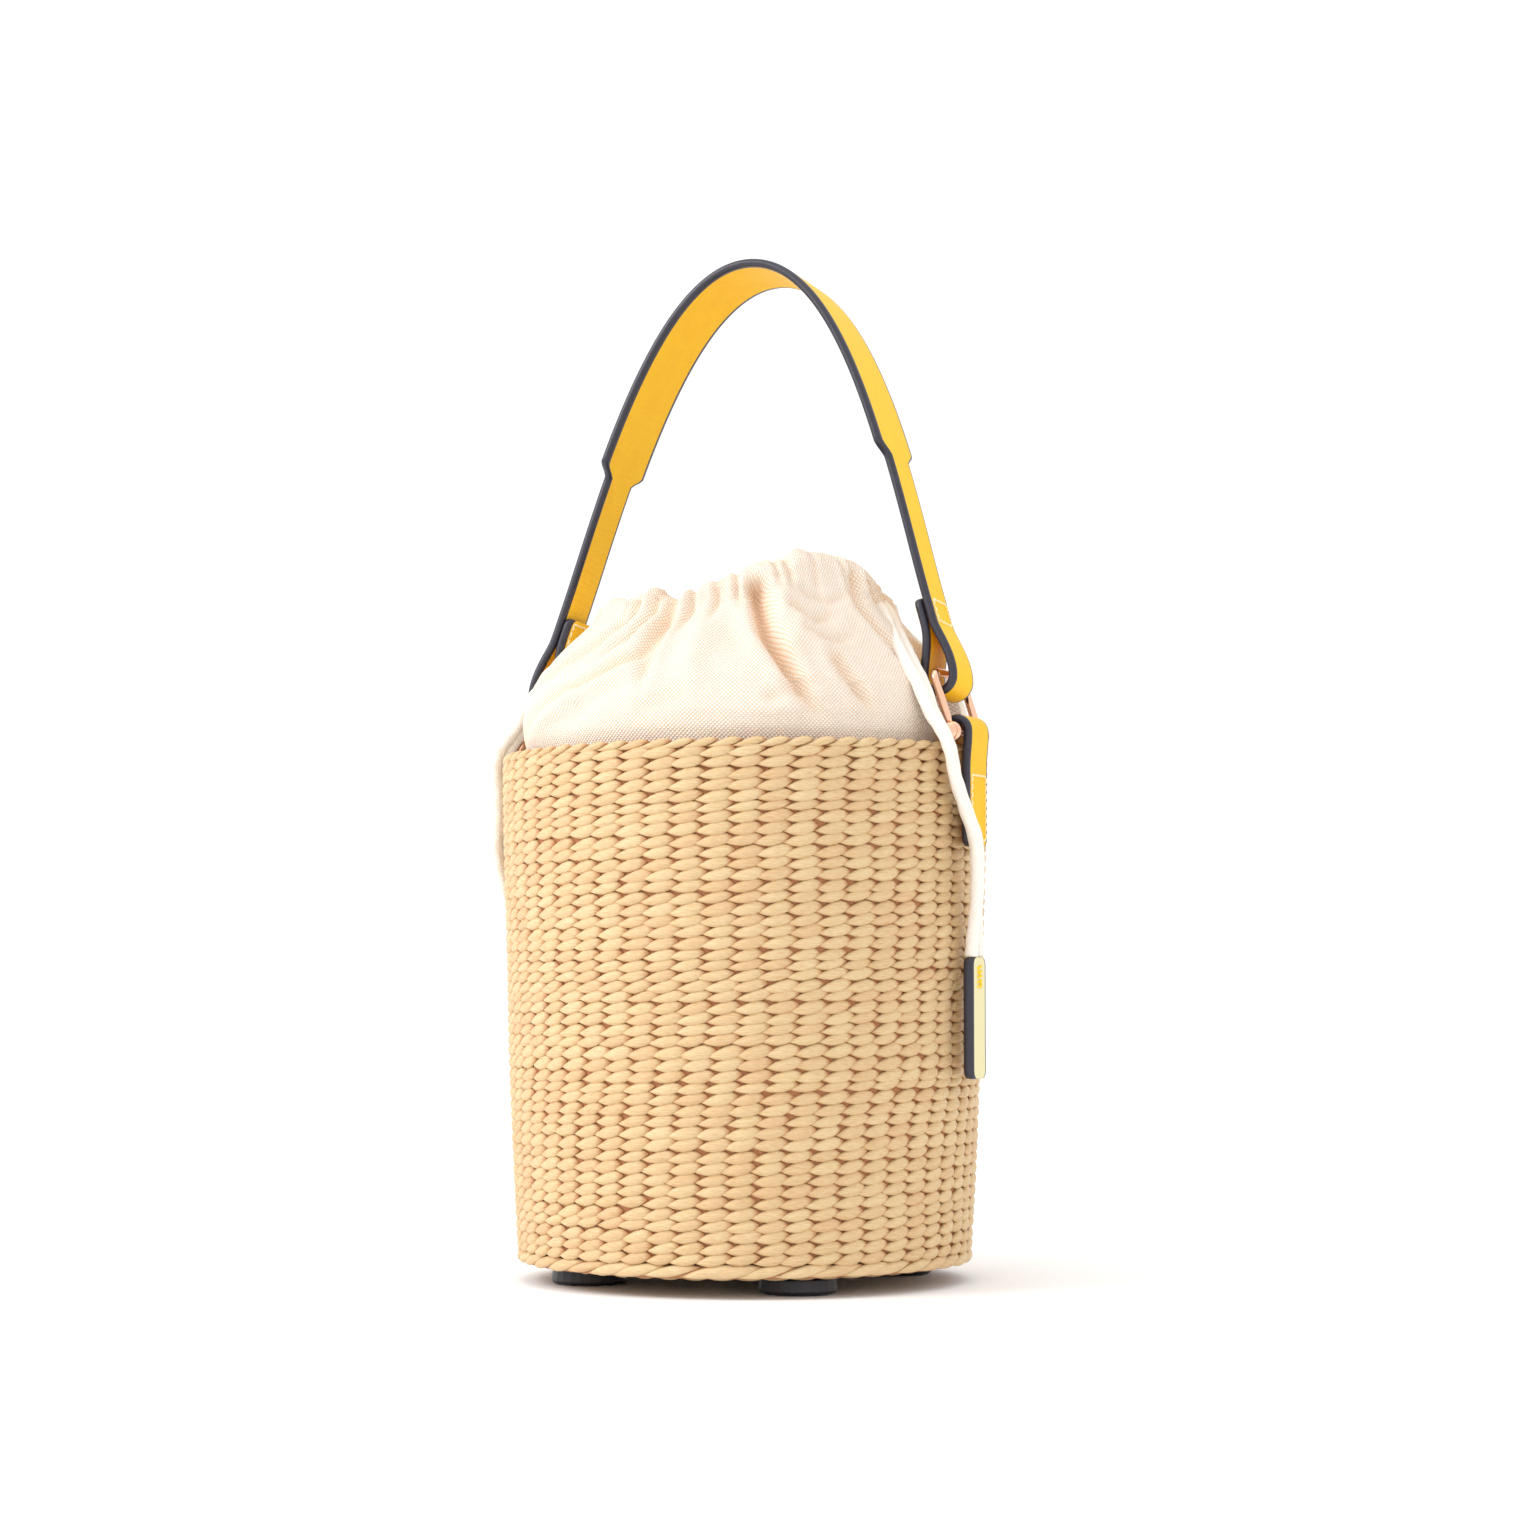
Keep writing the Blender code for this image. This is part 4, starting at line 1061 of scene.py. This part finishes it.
for side, mirrored in (("right", 1), ("left", -1)):
    def on_tab(p, across, mirrored=mirrored):
        """A point of the tab's plane at that side."""
        return Vector((p.x * mirrored, across * mirrored, p.y))

    tab = ribbon(f"tab_{side}_leather", tab_path, lambda p: TAB_WIDTH, STRAP, on_tab, round_ends=0.0038)
    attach(tab, "basket")
    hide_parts(f"tab_{side}_outer", f"tab_{side}_inner")
    reach = TAB_WIDTH / 2 - SEAM_INSET
    for leg, x, faces_out in (("outer", TAB_OUTER_X, 1), ("inner", TAB_INNER_X, -1)):
        proud = Vector((STRAP / 2 * faces_out, 0))
        box = rectangle(Vector((x, TAB_SEAM_TOP_Z)), Vector((x, TAB_SEAM_LOW_Z)), reach, proud)
        stitched(f"tab_stitches_{side}_{leg}", box, True, on_tab, "basket")

# Pulls: two pieces of the same hide glued together over the ends of the two strands, with rounded
# corners, painted edges and a tie of yellow thread through all of it.
PULL_TOP_Z = 0.1150
PULL_LENGTH = 0.0410
PULL_WIDTH = 0.0135
PULL_LAYER = 0.00175

# Pull hide: the same skin, matt, painted paler and greener as painted glare of the white room on its faces.
glare_painted_hide, shader, tree = material("cowhide_pale_painted_glare")
hide = add(tree, "Attribute", {"attribute_name": "hide"})
nap = add(tree, "TexNoise", {"Scale": 0.9, "Detail": 4.0}, Vector=hide.outputs["Vector"])
glare_tone = ramp(tree, nap.outputs["Fac"], (0, "#DDD19A"), (1, "#EBE3B8"))
tree.links.new(glare_tone, shader.inputs["Base Color"])
raised = add(tree, "Bump", {"Strength": 0.3, "Distance": 0.0002}, Height=nap.outputs["Fac"])
tree.links.new(raised.outputs["Normal"], shader.inputs["Normal"])
shader.inputs["Roughness"].default_value = 0.6

# Tie thread: bright yellow polyester, as thick as the thread of the seams.
tie_thread, shader, tree = material("polyester_thread_bright")
twist = add(tree, "TexNoise", {"Scale": 2400.0, "Detail": 1.0})
lay = ramp(tree, twist.outputs["Fac"], (0, "#EFC400"), (1, "#FFDA1A"))
tree.links.new(lay, shader.inputs["Base Color"])
shader.inputs["Roughness"].default_value = 0.55

for side, turn in (("right", PULL_TURN), ("left", 180 - PULL_TURN)):
    hang = Matrix.Translation(around(PULL_RADIUS, turn, PULL_PIVOT_Z))
    hang = hang @ Matrix.Rotation(math.radians(turn), 4, "Z")

    def on_pull(p, across, hang=hang):
        """A point of the hanging pull, from its pivot."""
        return hang @ Vector((p.x, across, p.y))

    top = PULL_TOP_Z + 0.0022 - PULL_PIVOT_Z
    bottom = PULL_TOP_Z - PULL_LENGTH - PULL_PIVOT_Z
    run = [Vector((0, bottom)), Vector((0, top))]
    pull = ribbon(f"pull_{side}_leather", run, lambda p: PULL_WIDTH, PULL_LAYER * 2 + GAP, on_pull,
                  round_ends=0.0030, skin=glare_painted_hide)
    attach(pull, "pull_" + side)
    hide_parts(f"pull_{side}_front", f"pull_{side}_back")
    face = PULL_LAYER + GAP / 2
    for k, sign in enumerate((1, -1)):
        proud = Vector((face * sign, 0))
        tie = [(Vector((0, top - 0.0035)), -0.0012, proud), (Vector((0, top - 0.0115)), 0.0012, proud)]
        stitched(f"pull_{side}_tie_{k}", tie, False, on_pull, "pull_" + side,
                 pitch=0.0042, finish=tie_thread)
        for step in range(5):
            z = top - 0.0040 - step * 0.0017
            cross = [(Vector((0, z)), -0.0026, proud), (Vector((0, z + 0.0008)), 0.0026, proud)]
            stitched(f"pull_{side}_bar_{k}_{step}", cross, False, on_pull, "pull_" + side,
                     pitch=0.0055, finish=tie_thread)

# Shackles: copper-coloured plated brass wire, 3 mm, bent to a U with an eye at each end. A pin with
# a round head goes through the eyes and the tab's loop, and is threaded beside the far eye.
WIRE = 0.0030
PIN = 0.0032
PIN_X = 0.0886
PIN_Z = 0.1972
SHACKLE_HALF = 0.0130
EYE_RADIUS = 0.0027
EYE_HALF = 0.0010
rose_plate, shader, tree = material("brass_rose_gold_plated")
smear = add(tree, "TexNoise", {"Scale": 380.0, "Detail": 3.0})
polish = add(tree, "MapRange", {"To Min": 0.07, "To Max": 0.18}, Value=smear.outputs["Fac"])
tree.links.new(polish.outputs["Result"], shader.inputs["Roughness"])
shader.inputs["Base Color"].default_value = linear("#F0C2A4")
shader.inputs["Metallic"].default_value = 1.0


def lathed(profile, steps):
    """A closed turned shape about Y from (distance, place along Y) points."""
    verts, faces = [], []
    for k in range(steps):
        a = 2 * math.pi * k / steps
        verts += [Vector((r * math.cos(a), y, r * math.sin(a))) for r, y in profile]
    size = len(profile)
    for k in range(steps):
        m = (k + 1) % steps
        for i in range(size):
            j = (i + 1) % size
            faces.append((k * size + i, k * size + j, m * size + j, m * size + i))
    return verts, faces


def joined(name, parts, finish):
    """Several closed shapes as one piece, with faces turned outwards."""
    verts, faces = [], []
    for part_verts, part_faces in parts:
        faces += [tuple(v + len(verts) for v in f) for f in part_faces]
        verts += list(part_verts)
    piece = new_piece(name, verts, faces, finish)
    turn_faces_outwards(piece)
    return piece


for side, mirrored in (("right", 1), ("left", -1)):
    foot_of_wire = Vector((PIN_X * mirrored, 0, PIN_Z))
    head_of_wire = Vector((LOOP_X * mirrored, 0, PIVOT_Z))
    corner = 0.0036
    upward = (head_of_wire - foot_of_wire).normalized()
    bend = head_of_wire - upward * corner
    across = Vector((0, 1, 0))
    low = foot_of_wire - across * SHACKLE_HALF + upward * 0.0030
    high = bend - across * SHACKLE_HALF
    wire_run = [low.lerp(high, i / 8) for i in range(8)]
    for i in range(10):
        t = math.pi / 2 * i / 9
        wire_run.append(bend + upward * corner * math.sin(t)
                        - across * (SHACKLE_HALF - corner + corner * math.cos(t)))
    wire_run += [Vector((p.x, -p.y, p.z)) for p in reversed(wire_run)]
    parts = [tube(wire_run, lambda i, t: WIRE / 2, 20)]
    eye = []
    for k in range(16):
        a = 2 * math.pi * k / 16
        flattened = math.copysign(abs(math.sin(a)) ** 0.7, math.sin(a))
        eye.append((EYE_RADIUS + EYE_HALF * math.cos(a), WIRE / 2 * flattened))
    for sign in (-1, 1):
        eye_verts, eye_faces = lathed(eye, 32)
        parts.append(([v + foot_of_wire + across * SHACKLE_HALF * sign for v in eye_verts], eye_faces))
    shackle = joined(f"shackle_{side}_wire", parts, rose_plate)
    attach(shackle, "shackle_" + side)
    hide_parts("shackle_" + side)

    near = SHACKLE_HALF + 0.0015 + 0.0003
    dome = [(0.00001, -near - 0.0024)]
    dome += [(0.0031 * math.sin(math.radians(t)), -near - 0.0010 - 0.0014 * math.cos(math.radians(t)))
             for t in (15, 30, 45, 60, 75, 90)]
    dome += [(0.0031, -near - 0.0002), (0.0029, -near), (PIN / 2, -near)]
    thread_low, thread_high = SHACKLE_HALF - 0.0062, SHACKLE_HALF - 0.0018
    y = thread_low
    dome.append((PIN / 2, y))
    while y < thread_high:
        dome += [(PIN / 2 - 0.0002, y + 0.0002), (PIN / 2, y + 0.0004)]
        y += 0.0006
    dome += [(PIN / 2, near + 0.0010), (PIN / 2 - 0.0005, near + 0.0015), (0.00001, near + 0.0015)]
    pin_verts, pin_faces = lathed(dome, 32)
    in_place = [v + foot_of_wire for v in pin_verts]
    pin = joined(f"shackle_pin_{side}_turned", [(in_place, pin_faces)], rose_plate)
    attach(pin, "shackle_" + side)
    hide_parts("shackle_pin_" + side)
